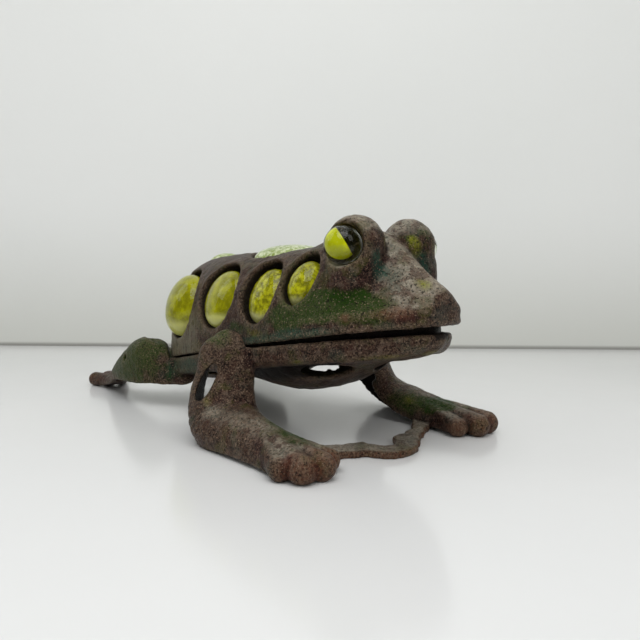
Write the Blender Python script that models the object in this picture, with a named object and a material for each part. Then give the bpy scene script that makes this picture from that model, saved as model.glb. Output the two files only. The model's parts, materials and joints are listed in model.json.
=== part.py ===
"""Cast-iron frog lantern: a footed lower casting, a hinged lid with glass inserts and marble eyes.

Frame: +Z up, the frog faces -Y, X = 0 is its plane of symmetry, the floor is Z = 0 and the origin is
under the middle of the bounding box. Lengths below are in millimetres; "station" means the distance
behind the eyes, measured towards the tail.
"""

import bmesh
import bpy
import math
from mathutils import Matrix, Vector

MM = 0.001
EYES_TO_ORIGIN = 94.25  # station of the origin

WALL = 3.2  # casting thickness
FIT = 0.35  # gap left round every insert

# Parting line between lid and jaw: station, height.
SEAM = ((-40.0, 56.8), (0.0, 51.2), (60.0, 41.0), (150.0, 24.8))
MOUTH_GAP_REAR = 0.8
MOUTH_GAP_FRONT = 2.8
MOUTH_END = 60.0  # station where the mouth gap has closed to the rear value
SNOUT_STATION = -38.0
THIGH_START = 120.0  # station behind which the lid swings past the thighs

# Lid stations: station, half width at the parting line, height of the top.
LID_STATIONS = (
    (-37.0, 6.5, 65.5),
    (-34.0, 11.4, 69.5),
    (-28.0, 17.4, 74.0),
    (-20.0, 23.4, 79.5),
    (-10.0, 29.0, 86.5),
    (0.0, 33.5, 94.5),
    (14.0, 37.0, 95.5),
    (30.0, 39.5, 90.4),
    (50.0, 41.5, 88.5),
    (72.0, 42.0, 87.6),
    (94.0, 41.0, 87.0),
    (114.0, 39.0, 86.0),
    (129.0, 36.5, 84.5),
    (138.0, 33.0, 79.5),
    (147.0, 24.0, 66.0),
)
LID_ROUNDNESS = 2.4  # exponent of the superelliptic sections
LID_POINTS = 21  # points over each section

# Keel of the lower casting: station, height of its lowest line.
KEEL = (
    (-33.0, 47.0),
    (-28.0, 43.5),
    (-20.0, 41.0),
    (-4.0, 38.0),
    (10.0, 32.5),
    (24.0, 24.5),
    (38.0, 20.5),
    (60.0, 19.5),
    (84.0, 20.0),
    (104.0, 17.5),
    (124.0, 14.0),
    (136.0, 13.0),
    (146.0, 14.5),
)
JAW_SETBACK = 3.0  # the jaw's plan is the lid's, this far behind it at the snout
JAW_DEPTH = 9.5
JAW_TUCK = 5.0  # how far the belly starts inboard of the jaw

EYE_CENTRE = (23.6, -0.8, 88.3)
EYE_RADIUS = 8.0
DOME_CENTRE = (17.0, 0.0, 88.2)
DOME_RADIUS = 13.0
SOCKET_MOUTH = 9.4
SOCKET_AXIS = (0.86, -0.5, 0.05)
LIGHT_HOLE = 4.5

# Side glass: name, station, height of its centre, length, height, half thickness, proud height.
SIDE_GLASS = (
    ("glass_side_1", 120.5, 59.2, 35.0, 35.0, 10.5, 7.5),
    ("glass_side_2", 77.0, 65.2, 31.0, 32.0, 7.0, 2.6),
    ("glass_side_3", 42.0, 68.6, 21.0, 27.0, 6.5, 2.2),
    ("glass_side_4", 19.4, 75.2, 15.5, 23.0, 6.5, 2.2),
)
# Top glass: name, station, length, width, half thickness, proud height.
TOP_GLASS = (
    ("glass_top_front", 62.0, 40.0, 34.0, 7.0, 2.8),
    ("glass_top_rear", 130.0, 20.0, 22.0, 5.5, 2.0),
)
BEAD_RADIUS = 0.9  # adhesive ring behind each glass
BEAD_CLEAR = BEAD_RADIUS + 0.4  # its centre line outside the edge of the glass
BEAD_DEPTH = 5.4  # and below the outside of the lid
BEAD_STEPS = 20

HINGE_STATION = 155.0
HINGE_HEIGHT = 26.5
KNUCKLE_RADIUS = 4.6
KNUCKLE_HALF = 5.0  # half length of the lid's knuckle
LUG_GAP = 0.5
LUG_WIDTH = 4.5
PIN_RADIUS = 1.6
PIN_HEAD_RADIUS = 3.0
PIN_HEAD_THICKNESS = 1.4

# Front leg, right side: centre, outward direction, half width, height outside, depth inside.
FRONT_LEG = (
    ((47.4, 52.6, 46.6), (0.68, -0.73, 0.0), 4.6, 2.4, 2.0),
    ((47.2, 52.2, 44.2), (0.68, -0.73, 0.0), 9.6, 4.6, 3.4),
    ((47.2, 52.0, 39.0), (0.68, -0.73, 0.0), 12.4, 6.4, 5.0),
    ((48.4, 51.0, 30.0), (0.7, -0.71, 0.0), 13.4, 6.8, 6.0),
    ((50.2, 50.5, 21.0), (0.72, -0.68, 0.15), 15.0, 8.0, 6.0),
    ((52.0, 47.0, 12.8), (0.55, -0.5, 0.66), 15.6, 8.8, 4.0),
    ((51.6, 36.0, 7.0), (0.25, -0.26, 0.93), 13.8, 10.2, 2.6),
    ((51.0, 22.0, 4.6), (0.05, -0.1, 0.99), 12.4, 10.6, 2.0),
    ((50.6, 8.0, 3.6), (0.0, -0.05, 1.0), 11.8, 8.8, 2.0),
    ((50.2, -2.0, 3.0), (0.0, -0.05, 1.0), 12.2, 7.2, 2.0),
    ((49.8, -10.0, 2.8), (0.0, 0.0, 1.0), 11.0, 5.0, 1.8),
)
# Slot through a leg: centre, long direction, direction through the wall, half length, half width.
FRONT_SLOT = ((54.0, 55.6, 27.4), (-0.34, -0.29, 0.9), (0.68, -0.73, 0.0), 8.8, 2.6)
# Toes: root and tip, radius.
FRONT_TOES = (
    ((55.5, 0.0, 4.8), (62.6, -10.4, 4.0), 4.4),
    ((53.5, -6.0, 5.2), (58.4, -18.0, 4.4), 4.8),
    ((49.5, -7.0, 5.2), (49.6, -19.2, 4.4), 4.8),
    ((44.5, -4.0, 4.8), (39.8, -13.8, 3.9), 4.3),
)
HIND_LEG = (
    ((29.0, 122.0, 18.0), (0.5, 0.0, 0.87), 7.0, 5.0, 2.0),
    ((35.5, 134.0, 18.0), (0.35, 0.1, 0.93), 10.5, 17.0, 3.0),
    ((39.5, 143.0, 17.8), (0.3, 0.1, 0.95), 12.0, 22.0, 3.4),
    ((41.5, 154.0, 17.0), (0.25, 0.1, 0.97), 12.4, 19.8, 3.0),
    ((42.6, 165.0, 16.0), (0.2, 0.15, 0.97), 11.8, 14.8, 2.6),
    ((43.2, 175.0, 13.8), (0.15, 0.2, 0.97), 10.4, 10.2, 2.4),
    ((43.4, 186.0, 10.0), (0.15, 0.2, 0.97), 8.4, 7.4, 2.4),
    ((43.2, 198.0, 7.2), (0.1, 0.2, 0.98), 7.2, 6.8, 2.6),
    ((42.4, 207.0, 4.6), (0.0, 0.15, 0.99), 7.2, 5.6, 2.2),
    ((41.4, 214.0, 3.0), (0.0, 0.05, 1.0), 7.6, 4.6, 1.6),
)
HIND_SLOTS = (
    ((42.4, 141.5, 38.5), (0.0, 1.0, -0.05), (0.2, 0.0, 0.98), 6.5, 2.2),
    ((44.4, 161.0, 32.5), (0.0, 0.93, -0.37), (0.25, 0.36, 0.88), 6.5, 2.2),
)
HIND_TOES = (
    ((43.0, 210.0, 4.4), (47.0, 221.6, 3.5), 3.8),
    ((41.0, 211.0, 4.4), (38.6, 221.8, 3.5), 3.8),
    ((39.0, 208.0, 4.2), (30.4, 217.6, 3.1), 3.4),
)

# Foot tie: outline of the plate between the front feet, station by station, right to left.
TIE_FRONT = ((-43.0, -1.0), (-32.0, -4.0), (-22.0, -14.0), (-13.0, -21.5), (0.0, -22.5), (13.0, -14.5),
             (31.0, -5.0), (43.0, -3.0))
TIE_REAR = ((43.0, 7.0), (26.0, 4.0), (14.0, -1.5), (4.0, -6.0), (-4.0, -8.0), (-7.0, -12.5), (-10.0, -7.0),
            (-17.0, -1.5), (-27.0, 3.0), (-43.0, 9.0))
TIE_THICKNESS = 3.4

# Belly vents, right side: centre, half length, half height.
VENTS = (
    ((19.0, 12.0, 33.8), 13.5, 3.5),
    ((24.0, 62.0, 23.6), 12.0, 3.6),
    ((25.0, 92.0, 24.0), 10.0, 3.6),
)
SEAT_STATION = 58.0
SEAT_RADIUS = 17.5
SEAT_HEIGHT = 24.6

RING_POINTS = 16
WELD = 0.002  # points this close are one point
FLAT_ANGLE = 2.5  # faces nearer to one plane than this are joined
TURN = 2.0 * math.pi


def clear_scene():
    for old in list(bpy.data.objects):
        bpy.data.objects.remove(old, do_unlink=True)


def new_collection(name, hidden):
    made = bpy.data.collections.new(name)
    made.hide_render = hidden
    bpy.context.scene.collection.children.link(made)
    return made


def material(name, colour, roughness, metallic, transmission=0.0):
    made = bpy.data.materials.new(name)
    made.use_nodes = True
    shader = made.node_tree.nodes["Principled BSDF"]
    shader.inputs["Base Color"].default_value = (*colour, 1.0)
    shader.inputs["Roughness"].default_value = roughness
    shader.inputs["Metallic"].default_value = metallic
    shader.inputs["Transmission Weight"].default_value = transmission
    made.diffuse_color = (*colour, 1.0)
    return made


def new_object(name, mesh):
    made = bpy.data.objects.new(name, mesh)
    WORKSHOP.objects.link(made)
    return made


def mesh_object(name, points, faces):
    mesh = bpy.data.meshes.new(name)
    mesh.from_pydata([Vector(p) * MM for p in points], [], faces)
    form = bmesh.new()
    form.from_mesh(mesh)
    bmesh.ops.triangulate(form, faces=form.faces)
    bmesh.ops.recalc_face_normals(form, faces=form.faces)
    form.to_mesh(mesh)
    form.free()
    return new_object(name, mesh)


def loft(name, rings):
    """A closed body through rings that all hold the same number of points."""
    count = len(rings[0])
    points = [point for ring in rings for point in ring]
    faces = []
    for row in range(len(rings) - 1):
        for k in range(count):
            after = (k + 1) % count
            base = row * count
            faces.append((base + k, base + after, base + count + after, base + count + k))
    faces.append(tuple(reversed(range(count))))
    faces.append(tuple(range((len(rings) - 1) * count, len(rings) * count)))
    return mesh_object(name, points, faces)


def bake(obj):
    """Applies the object's modifiers and leaves triangles only."""
    graph = bpy.context.evaluated_depsgraph_get()
    mesh = bpy.data.meshes.new_from_object(obj.evaluated_get(graph))
    obj.modifiers.clear()
    form = bmesh.new()
    form.from_mesh(mesh)
    bmesh.ops.remove_doubles(form, verts=form.verts, dist=WELD * MM)
    bmesh.ops.dissolve_degenerate(form, edges=form.edges, dist=WELD * MM)
    bmesh.ops.triangulate(form, faces=form.faces)
    form.to_mesh(mesh)
    form.free()
    obj.data = mesh


def mirrored(obj, name):
    copy = new_object(name, obj.data.copy())
    copy.data.transform(Matrix.Scale(-1.0, 4, (1.0, 0.0, 0.0)))
    copy.data.flip_normals()
    return copy


def combine(target, others, operation):
    """Joins the other bodies to the target, or cuts them from it, one by one."""
    for other in others:
        step = target.modifiers.new("step", "BOOLEAN")
        step.operation = operation
        step.solver = "EXACT"
        step.object = other
        bpy.context.view_layer.update()
        bake(target)
        bpy.data.objects.remove(other, do_unlink=True)
    return target


def linked(start):
    """Every vertex joined to this one by edges."""
    found = {start}
    waiting = [start]
    while waiting:
        for edge in waiting.pop().link_edges:
            for vert in edge.verts:
                if vert not in found:
                    found.add(vert)
                    waiting.append(vert)
    return found


def drop_specks(obj):
    """Keeps the main body, without the specks that crossing walls enclose, and joins its flat faces."""
    form = bmesh.new()
    form.from_mesh(obj.data)
    rest = set(form.verts)
    bodies = []
    while rest:
        bodies.append(linked(next(iter(rest))))
        rest -= bodies[-1]
    largest = max(len(body) for body in bodies)
    specks = [vert for body in bodies if len(body) < largest for vert in body]
    bmesh.ops.delete(form, geom=specks, context="VERTS")
    bmesh.ops.dissolve_limit(
        form, angle_limit=math.radians(FLAT_ANGLE), verts=form.verts, edges=form.edges, delimit={"NORMAL"}
    )
    bmesh.ops.triangulate(form, faces=form.faces)
    form.to_mesh(obj.data)
    form.free()
    return obj


def both_sides(made):
    return made + [mirrored(one, one.name + "_left") for one in made]


def ellipsoid(name, centre, halves, turn=None, segments=16, rings=10):
    form = bmesh.new()
    bmesh.ops.create_uvsphere(form, u_segments=segments, v_segments=rings, radius=1.0)
    mesh = bpy.data.meshes.new(name)
    form.to_mesh(mesh)
    form.free()
    spin = turn or Matrix.Identity(4)
    sized = Matrix.Diagonal((halves[0] * MM, halves[1] * MM, halves[2] * MM, 1.0))
    mesh.transform(Matrix.Translation(Vector(centre) * MM) @ spin @ sized)
    return new_object(name, mesh)


def cylinder(name, centre, radius, length, axis, segments=24):
    form = bmesh.new()
    bmesh.ops.create_cone(
        form,
        cap_ends=True,
        segments=segments,
        radius1=radius * MM,
        radius2=radius * MM,
        depth=length * MM,
    )
    mesh = bpy.data.meshes.new(name)
    form.to_mesh(mesh)
    form.free()
    turn = Vector(axis).to_track_quat("Z", "Y").to_matrix().to_4x4()
    mesh.transform(Matrix.Translation(Vector(centre) * MM) @ turn)
    return new_object(name, mesh)


def block(name, low, high):
    form = bmesh.new()
    bmesh.ops.create_cube(form, size=1.0)
    mesh = bpy.data.meshes.new(name)
    form.to_mesh(mesh)
    form.free()
    size = Vector(high) - Vector(low)
    middle = (Vector(high) + Vector(low)) / 2.0
    mesh.transform(Matrix.Translation(middle * MM) @ Matrix.Diagonal((*(size * MM), 1.0)))
    return new_object(name, mesh)


def between(table, station, column):
    """Value of one column of a station table, straight between its rows."""
    if station <= table[0][0]:
        return table[0][column]
    for low, high in zip(table, table[1:]):
        if station <= high[0]:
            share = (station - low[0]) / (high[0] - low[0])
            return low[column] + share * (high[column] - low[column])
    return table[-1][column]


def seam(station):
    return between(SEAM, station, 1)


def jaw_top(station):
    span = MOUTH_END - SNOUT_STATION
    share = min(max((MOUTH_END - station) / span, 0.0), 1.0)
    return seam(station) - MOUTH_GAP_REAR - share * (MOUTH_GAP_FRONT - MOUTH_GAP_REAR)


def lid_point(station, angle, inset=0.0):
    """A point of the lid's outside, or inset below it; angle runs from the right rim over the top."""
    half = between(LID_STATIONS, station, 1) - inset
    rise = between(LID_STATIONS, station, 2) - seam(station) - inset
    power = 2.0 / LID_ROUNDNESS
    across = math.copysign(abs(math.cos(angle)) ** power, math.cos(angle))
    return (half * across, station, seam(station) + rise * abs(math.sin(angle)) ** power)


def lid_ring(station, inset, drop):
    arc = [lid_point(station, math.pi * k / (LID_POINTS - 1), inset) for k in range(LID_POINTS)]
    foot_right = (arc[0][0], station, arc[0][2] - drop)
    foot_left = (arc[-1][0], station, arc[-1][2] - drop)
    return [foot_right, *arc, foot_left] if drop else arc


def lid_angle(station, height):
    """The section angle at which the lid's right side reaches a height."""
    rise = between(LID_STATIONS, station, 2) - seam(station)
    return math.asin(((height - seam(station)) / rise) ** (LID_ROUNDNESS / 2.0))


def lid_normal(station, angle):
    step = 0.02
    along = Vector(lid_point(station + 1.0, angle)) - Vector(lid_point(station - 1.0, angle))
    over = Vector(lid_point(station, angle + step)) - Vector(lid_point(station, angle - step))
    normal = over.cross(along).normalized()
    outward = Vector(lid_point(station, angle)) - Vector((0.0, station, seam(station)))
    return normal if normal.dot(outward) > 0 else -normal


def insert_frame(station, angle):
    """Turn whose Z is the lid's normal and whose Y runs along the lid."""
    normal = lid_normal(station, angle)
    along = Vector((0.0, 1.0, 0.0))
    along = (along - normal * along.dot(normal)).normalized()
    across = along.cross(normal)
    return Matrix((across, along, normal)).transposed().to_4x4()


def glass_piece(name, station, angle, size, proud):
    """The glass and the cutter of its opening."""
    turn = insert_frame(station, angle)
    surface = Vector(lid_point(station, angle))
    centre = surface + turn.to_3x3() @ Vector((0.0, 0.0, proud - size[2]))
    glass = ellipsoid(name, centre, size, turn, 16, 8)
    reach = (size[0] + FIT, size[1] + FIT, 30.0)
    opening = ellipsoid(name + "_opening", centre, reach, turn, 18, 8)
    return glass, opening


def within_lid(point, inset):
    """True where a point lies inside the lid's outside surface drawn in by the inset."""
    x, station, z = point
    half = between(LID_STATIONS, station, 1) - inset
    rise = between(LID_STATIONS, station, 2) - seam(station) - inset
    lift = max(z - seam(station), 0.0)
    return (abs(x) / half) ** LID_ROUNDNESS + (lift / rise) ** LID_ROUNDNESS <= 1.0


def bead_ring(name, station, angle, size):
    """Adhesive ring lying against the inside of the lid round one glass."""
    turn = insert_frame(station, angle).to_3x3()
    surface = Vector(lid_point(station, angle))
    points = []
    for k in range(BEAD_STEPS):
        phase = TURN * k / BEAD_STEPS
        out = Vector(((size[0] + BEAD_CLEAR) * math.cos(phase), (size[1] + BEAD_CLEAR) * math.sin(phase), 3.0))
        point = surface + turn @ out
        while not within_lid(point, BEAD_DEPTH):
            point -= turn @ Vector((0.0, 0.0, 0.2))
        points.append(point * MM)
    curve = bpy.data.curves.new(name, "CURVE")
    curve.dimensions = "3D"
    curve.bevel_depth = BEAD_RADIUS * MM
    curve.bevel_resolution = 1
    spline = curve.splines.new("POLY")
    spline.points.add(BEAD_STEPS - 1)
    for point, co in zip(spline.points, points):
        point.co = (*co, 1.0)
    spline.use_cyclic_u = True
    made = new_object(name, curve)
    bpy.context.view_layer.update()
    graph = bpy.context.evaluated_depsgraph_get()
    mesh = bpy.data.meshes.new_from_object(made.evaluated_get(graph))
    bpy.data.objects.remove(made, do_unlink=True)
    form = bmesh.new()
    form.from_mesh(mesh)
    bmesh.ops.remove_doubles(form, verts=form.verts, dist=1e-6)
    bmesh.ops.recalc_face_normals(form, faces=form.faces)
    form.to_mesh(mesh)
    form.free()
    return new_object(name, mesh)


def inner_stations(table):
    """The table's stations with the two ends drawn in by the wall."""
    first = table[0][0] + WALL
    last = table[-1][0] - WALL
    return [first, *(row[0] for row in table if first + 1.0 < row[0] < last - 1.0), last]


def lid_blank():
    outer = loft("lid_shell", [lid_ring(row[0], 0.0, 0.0) for row in LID_STATIONS])
    domes = both_sides([ellipsoid("dome", DOME_CENTRE, (DOME_RADIUS,) * 3, None, 18, 12)])
    combine(outer, domes, "UNION")
    cavity = loft("cavity", [lid_ring(row, WALL, 6.0) for row in inner_stations(LID_STATIONS)])
    return combine(outer, [cavity], "DIFFERENCE")


def eye_sockets(lid):
    x, y, z = EYE_CENTRE
    backing = both_sides([ellipsoid("backing", EYE_CENTRE, (EYE_RADIUS + 3.0,) * 3, None, 14, 8)])
    combine(lid, backing, "UNION")
    seat = ellipsoid("seat", EYE_CENTRE, (EYE_RADIUS + 2.0 * FIT,) * 3, None, 16, 10)
    outward = Vector(SOCKET_AXIS).normalized()
    middle = Vector(EYE_CENTRE) + outward * 10.5
    mouth = cylinder("mouth", middle, SOCKET_MOUTH, 18.0, outward)
    hole = cylinder("hole", (x - 10.0, y, z - 9.0), LIGHT_HOLE, 24.0, (-0.74, 0.0, -0.67), 16)
    return combine(lid, both_sides([seat, mouth, hole]), "DIFFERENCE")


def eye_marbles():
    made = []
    for side, name in ((1.0, "eye_marble_left"), (-1.0, "eye_marble_right")):
        centre = (side * EYE_CENTRE[0], EYE_CENTRE[1], EYE_CENTRE[2])
        made.append(ellipsoid(name, centre, (EYE_RADIUS,) * 3, None, 18, 10))
    return made


def lid_with_inserts():
    lid = eye_sockets(lid_blank())
    glass = []
    for name, station, height, length, tall, half, proud in SIDE_GLASS:
        angle = lid_angle(station, height)
        size = (tall / 2.0, length / 2.0, half)
        piece, opening = glass_piece(name + "_left", station, angle, size, proud)
        bead = bead_ring("adhesive" + name[5:] + "_left", station, angle, size)
        other = mirrored(piece, name + "_right")
        other_bead = mirrored(bead, "adhesive" + name[5:] + "_right")
        combine(lid, both_sides([opening]), "DIFFERENCE")
        glass += [piece, other, bead, other_bead]
    for name, station, length, width, half, proud in TOP_GLASS:
        size = (width / 2.0, length / 2.0, half)
        piece, opening = glass_piece(name, station, math.pi / 2.0, size, proud)
        bead = bead_ring("adhesive" + name[5:], station, math.pi / 2.0, size)
        combine(lid, [opening], "DIFFERENCE")
        glass += [piece, bead]
    return lid, glass


def lid_knuckle(lid):
    """The tongue that the hinge pin passes through, reaching back from the lid's rear wall."""
    barrel = cylinder("barrel", (0.0, HINGE_STATION, HINGE_HEIGHT), KNUCKLE_RADIUS, 2.0 * KNUCKLE_HALF,
                      (1.0, 0.0, 0.0))
    web = block(
        "web",
        (-KNUCKLE_HALF, LID_STATIONS[-1][0] - 2.4, seam(LID_STATIONS[-1][0]) + 0.4),
        (KNUCKLE_HALF, HINGE_STATION, HINGE_HEIGHT + KNUCKLE_RADIUS - 0.3),
    )
    combine(lid, [web, barrel], "UNION")
    bore = cylinder("bore", (0.0, HINGE_STATION, HINGE_HEIGHT), PIN_RADIUS + 0.3, 30.0, (1.0, 0.0, 0.0), 20)
    return drop_specks(combine(lid, [bore], "DIFFERENCE"))


def hull_ring(station, inset, lift):
    """Section of the lower casting: jaw band, tuck and belly, closed across the top."""
    half = between(LID_STATIONS, station - JAW_SETBACK, 1) - inset
    if station > 0.0:
        half = between(LID_STATIONS, station, 1) - inset
    top = jaw_top(station)
    keel = between(KEEL, station, 1) + inset
    band = max(top - JAW_DEPTH, keel + 1.0) if not inset else max(top - JAW_DEPTH + 1.0, keel + 0.6)
    tuck = min(JAW_TUCK, half * 0.35)
    drop = band - keel
    right = [
        (half - 0.3, top + lift),
        (half + 0.2, top - 2.0),
        (half + 0.2, band + 2.0),
        (half - 1.4, band + 0.2),
        (half - tuck, band - 0.12 * drop),
        ((half - tuck) * 0.86, band - 0.45 * drop),
        ((half - tuck) * 0.62, band - 0.78 * drop),
        ((half - tuck) * 0.32, band - 0.95 * drop),
    ]
    points = [(x, station, z) for x, z in right] + [(0.0, station, keel)]
    points += [(-x, station, z) for x, z in reversed(right)]
    return points


def hull():
    rows = [row[0] for row in KEEL]
    outer = loft("lower_body", [hull_ring(row, 0.0, 0.0) for row in rows])
    inner = loft("inner", [hull_ring(row, WALL, 8.0) for row in inner_stations(KEEL)])
    return combine(outer, [inner], "DIFFERENCE")


def leg_ring(rows, index, inset, below):
    """D-shaped ring square to the leg's path; inset rings reach below to leave the back open."""
    centre, outward, half, height, depth = rows[index]
    before = Vector(rows[max(index - 1, 0)][0])
    after = Vector(rows[min(index + 1, len(rows) - 1)][0])
    along = (after - before).normalized()
    normal = Vector(outward)
    normal = (normal - along * normal.dot(along)).normalized()
    across = along.cross(normal)
    points = []
    for k in range(RING_POINTS):
        angle = TURN * (k + 0.5) / RING_POINTS
        rise = math.sin(angle)
        reach = (height - inset) if rise > 0 else depth + below
        offset = across * ((half - inset) * math.cos(angle)) + normal * (reach * rise)
        points.append(Vector(centre) + offset)
    return points


def leg(name, rows, first, last):
    """The leg as a solid, and the hollow under it between two of its rows."""
    solid = loft(name, [leg_ring(rows, i, 0.0, 0.0) for i in range(len(rows))])
    hollow = loft(name + "_hollow", [leg_ring(rows, i, WALL - 0.4, 6.0) for i in range(first, last)])
    return solid, hollow


def capsule(name, root, tip, radius):
    """A toe: a stretched ball from root to tip."""
    start = Vector(root)
    end = Vector(tip)
    along = end - start
    turn = along.to_track_quat("Z", "Y").to_matrix().to_4x4()
    return ellipsoid(name, (start + end) / 2.0, (radius, radius, along.length / 2.0 + radius), turn, 12, 8)


def slot(centre, along, through, half_length, half_width):
    """A pointed oval cutter standing across a leg's wall."""
    deep = Vector(through).normalized()
    long = Vector(along)
    long = (long - deep * long.dot(deep)).normalized()
    turn = Matrix((long.cross(deep), long, deep)).transposed().to_4x4()
    return ellipsoid("slot", centre, (half_width, half_length, 9.0), turn, 12, 8)


def tie_plate():
    """The flat plate that joins the front feet."""
    outline = list(TIE_FRONT) + list(TIE_REAR)
    rings = [[(x, y, z) for x, y in outline] for z in (0.0, TIE_THICKNESS)]
    return loft("tie", rings)


def front_legs():
    solid, hollow = leg("front_leg", FRONT_LEG, 1, len(FRONT_LEG) - 2)
    toes = [capsule("toe", *toe) for toe in FRONT_TOES]
    combine(solid, [hollow], "DIFFERENCE")
    combine(solid, toes, "UNION")
    return combine(solid, [slot(*FRONT_SLOT)], "DIFFERENCE")


def hind_legs():
    solid, hollow = leg("hind_leg", HIND_LEG, 1, len(HIND_LEG) - 2)
    combine(solid, [hollow], "DIFFERENCE")
    combine(solid, [capsule("toe", *toe) for toe in HIND_TOES], "UNION")
    return combine(solid, [slot(*row) for row in HIND_SLOTS], "DIFFERENCE")


def lid_clearance():
    """Room for the lid: its plan, a little larger, from just under the parting line upwards."""
    rings = []
    for row in LID_STATIONS:
        half = row[1] + (1.0 if row[0] < THIGH_START else 2.2)
        low = seam(row[0]) - 0.6
        rings.append([(half, row[0], low), (half, row[0], 80.0), (-half, row[0], 80.0), (-half, row[0], low)])
    tail = LID_STATIONS[-1][0] + 3.5
    rings.append([(x * 0.96, tail, z) for x, _, z in rings[-1]])
    return loft("clearance", rings)


def floor_cut():
    return block("below_floor", (-100.0, -100.0, -30.0), (100.0, 300.0, 0.0))


def hinge_lugs(body):
    near = KNUCKLE_HALF + LUG_GAP
    lugs = []
    for low in (near, -near - LUG_WIDTH):
        middle = (low + LUG_WIDTH / 2.0, HINGE_STATION, HINGE_HEIGHT)
        lugs.append(cylinder("lug", middle, KNUCKLE_RADIUS, LUG_WIDTH, (1.0, 0.0, 0.0)))
        lugs.append(block("stem", (low, 143.6, 16.0), (low + LUG_WIDTH, HINGE_STATION + 3.6, HINGE_HEIGHT - 3.2)))
    combine(body, lugs, "UNION")
    bore = cylinder("bore", (0.0, HINGE_STATION, HINGE_HEIGHT), PIN_RADIUS + 0.3, 40.0, (1.0, 0.0, 0.0), 20)
    return combine(body, [bore], "DIFFERENCE")


def hinge_pin():
    end = KNUCKLE_HALF + LUG_GAP + LUG_WIDTH + 0.3
    centre = (0.0, HINGE_STATION, HINGE_HEIGHT)
    pin = cylinder("hinge_pin", centre, PIN_RADIUS, 2.0 * end + 0.4, (1.0, 0.0, 0.0), 20)
    heads = []
    for side in (1.0, -1.0):
        where = (side * (end + PIN_HEAD_THICKNESS / 2.0), HINGE_STATION, HINGE_HEIGHT)
        heads.append(cylinder("head", where, PIN_HEAD_RADIUS, PIN_HEAD_THICKNESS, (1.0, 0.0, 0.0), 20))
    return combine(pin, heads, "UNION")


def candle_seat():
    return cylinder("seat", (0.0, SEAT_STATION, SEAT_HEIGHT - 1.6), SEAT_RADIUS, 3.2, (0.0, 0.0, 1.0), 28)


def lower_body():
    body = hull()
    combine(body, [candle_seat()], "UNION")
    vents = [ellipsoid("vent", centre, (12.0, along, tall), None, 12, 8) for centre, along, tall in VENTS]
    combine(body, both_sides(vents), "DIFFERENCE")
    legs = both_sides([front_legs(), hind_legs()])
    combine(body, [*legs, tie_plate()], "UNION")
    combine(body, [lid_clearance(), floor_cut()], "DIFFERENCE")
    return drop_specks(hinge_lugs(body))


def finish(obj, look, smooth):
    """Moves a piece to the shared frame, gives it its material and puts it in the frog's collection."""
    obj.data.transform(Matrix.Translation((0.0, -EYES_TO_ORIGIN * MM, 0.0)))
    obj.data.materials.clear()
    obj.data.materials.append(look)
    for polygon in obj.data.polygons:
        polygon.material_index = 0
    obj.data.shade_smooth()
    obj.data.set_sharp_from_angle(angle=math.radians(smooth))
    WORKSHOP.objects.unlink(obj)
    FROG.objects.link(obj)


def build():
    iron_dark = material("iron_lid", (0.075, 0.055, 0.045), 0.6, 0.25)
    iron_body = material("iron_body", (0.085, 0.06, 0.048), 0.62, 0.25)
    steel = material("pin_steel", (0.28, 0.27, 0.25), 0.4, 1.0)
    clear = material("adhesive_clear", (0.85, 0.83, 0.75), 0.3, 0.0, 0.6)
    body = lower_body()
    lid, inserts = lid_with_inserts()
    lid_knuckle(lid)
    finish(body, iron_body, 40.0)
    finish(lid, iron_dark, 40.0)
    finish(hinge_pin(), steel, 40.0)
    for piece in [*inserts, *eye_marbles()]:
        if piece.name.startswith("adhesive"):
            finish(piece, clear, 60.0)
            continue
        look = material(piece.name + "_glass", (0.62, 0.62, 0.08), 0.06, 0.0, 0.5)
        finish(piece, look, 60.0)


clear_scene()
FROG = new_collection("frog_lantern", False)
WORKSHOP = new_collection("workshop", True)
build()
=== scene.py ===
"""Looks of the cast-iron frog lantern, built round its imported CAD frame.

The two castings are distance fields on a regular grid, meshed by the net below. Lengths are in
millimetres and "station" is the distance behind the eyes until a piece is put in the row frame.
"""

import bmesh
import bpy
import json
import math
import numpy as np
from mathutils import Matrix, Vector


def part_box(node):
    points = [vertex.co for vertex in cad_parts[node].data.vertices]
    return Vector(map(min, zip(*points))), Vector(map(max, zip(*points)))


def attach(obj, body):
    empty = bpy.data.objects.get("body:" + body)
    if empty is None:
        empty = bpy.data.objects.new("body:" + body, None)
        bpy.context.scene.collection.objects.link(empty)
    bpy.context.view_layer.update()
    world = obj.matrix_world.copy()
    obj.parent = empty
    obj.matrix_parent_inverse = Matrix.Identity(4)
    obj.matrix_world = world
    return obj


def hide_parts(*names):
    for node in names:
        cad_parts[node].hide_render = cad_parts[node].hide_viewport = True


MM = 0.001
STEP = 0.85  # grid spacing, coarser while trying things
TINY = 1e-6
LEAST_SLOPE = 0.004
WALL = 3.2
RIGHT, LEFT = -1.0, 1.0

SEAM = ((-40.0, 56.8), (0.0, 51.2), (60.0, 41.0), (150.0, 24.8))  # station, height
MOUTH_GAP_REAR = 0.8
MOUTH_GAP_FRONT = 2.8
MOUTH_END = 60.0
SNOUT = -36.8

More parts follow.
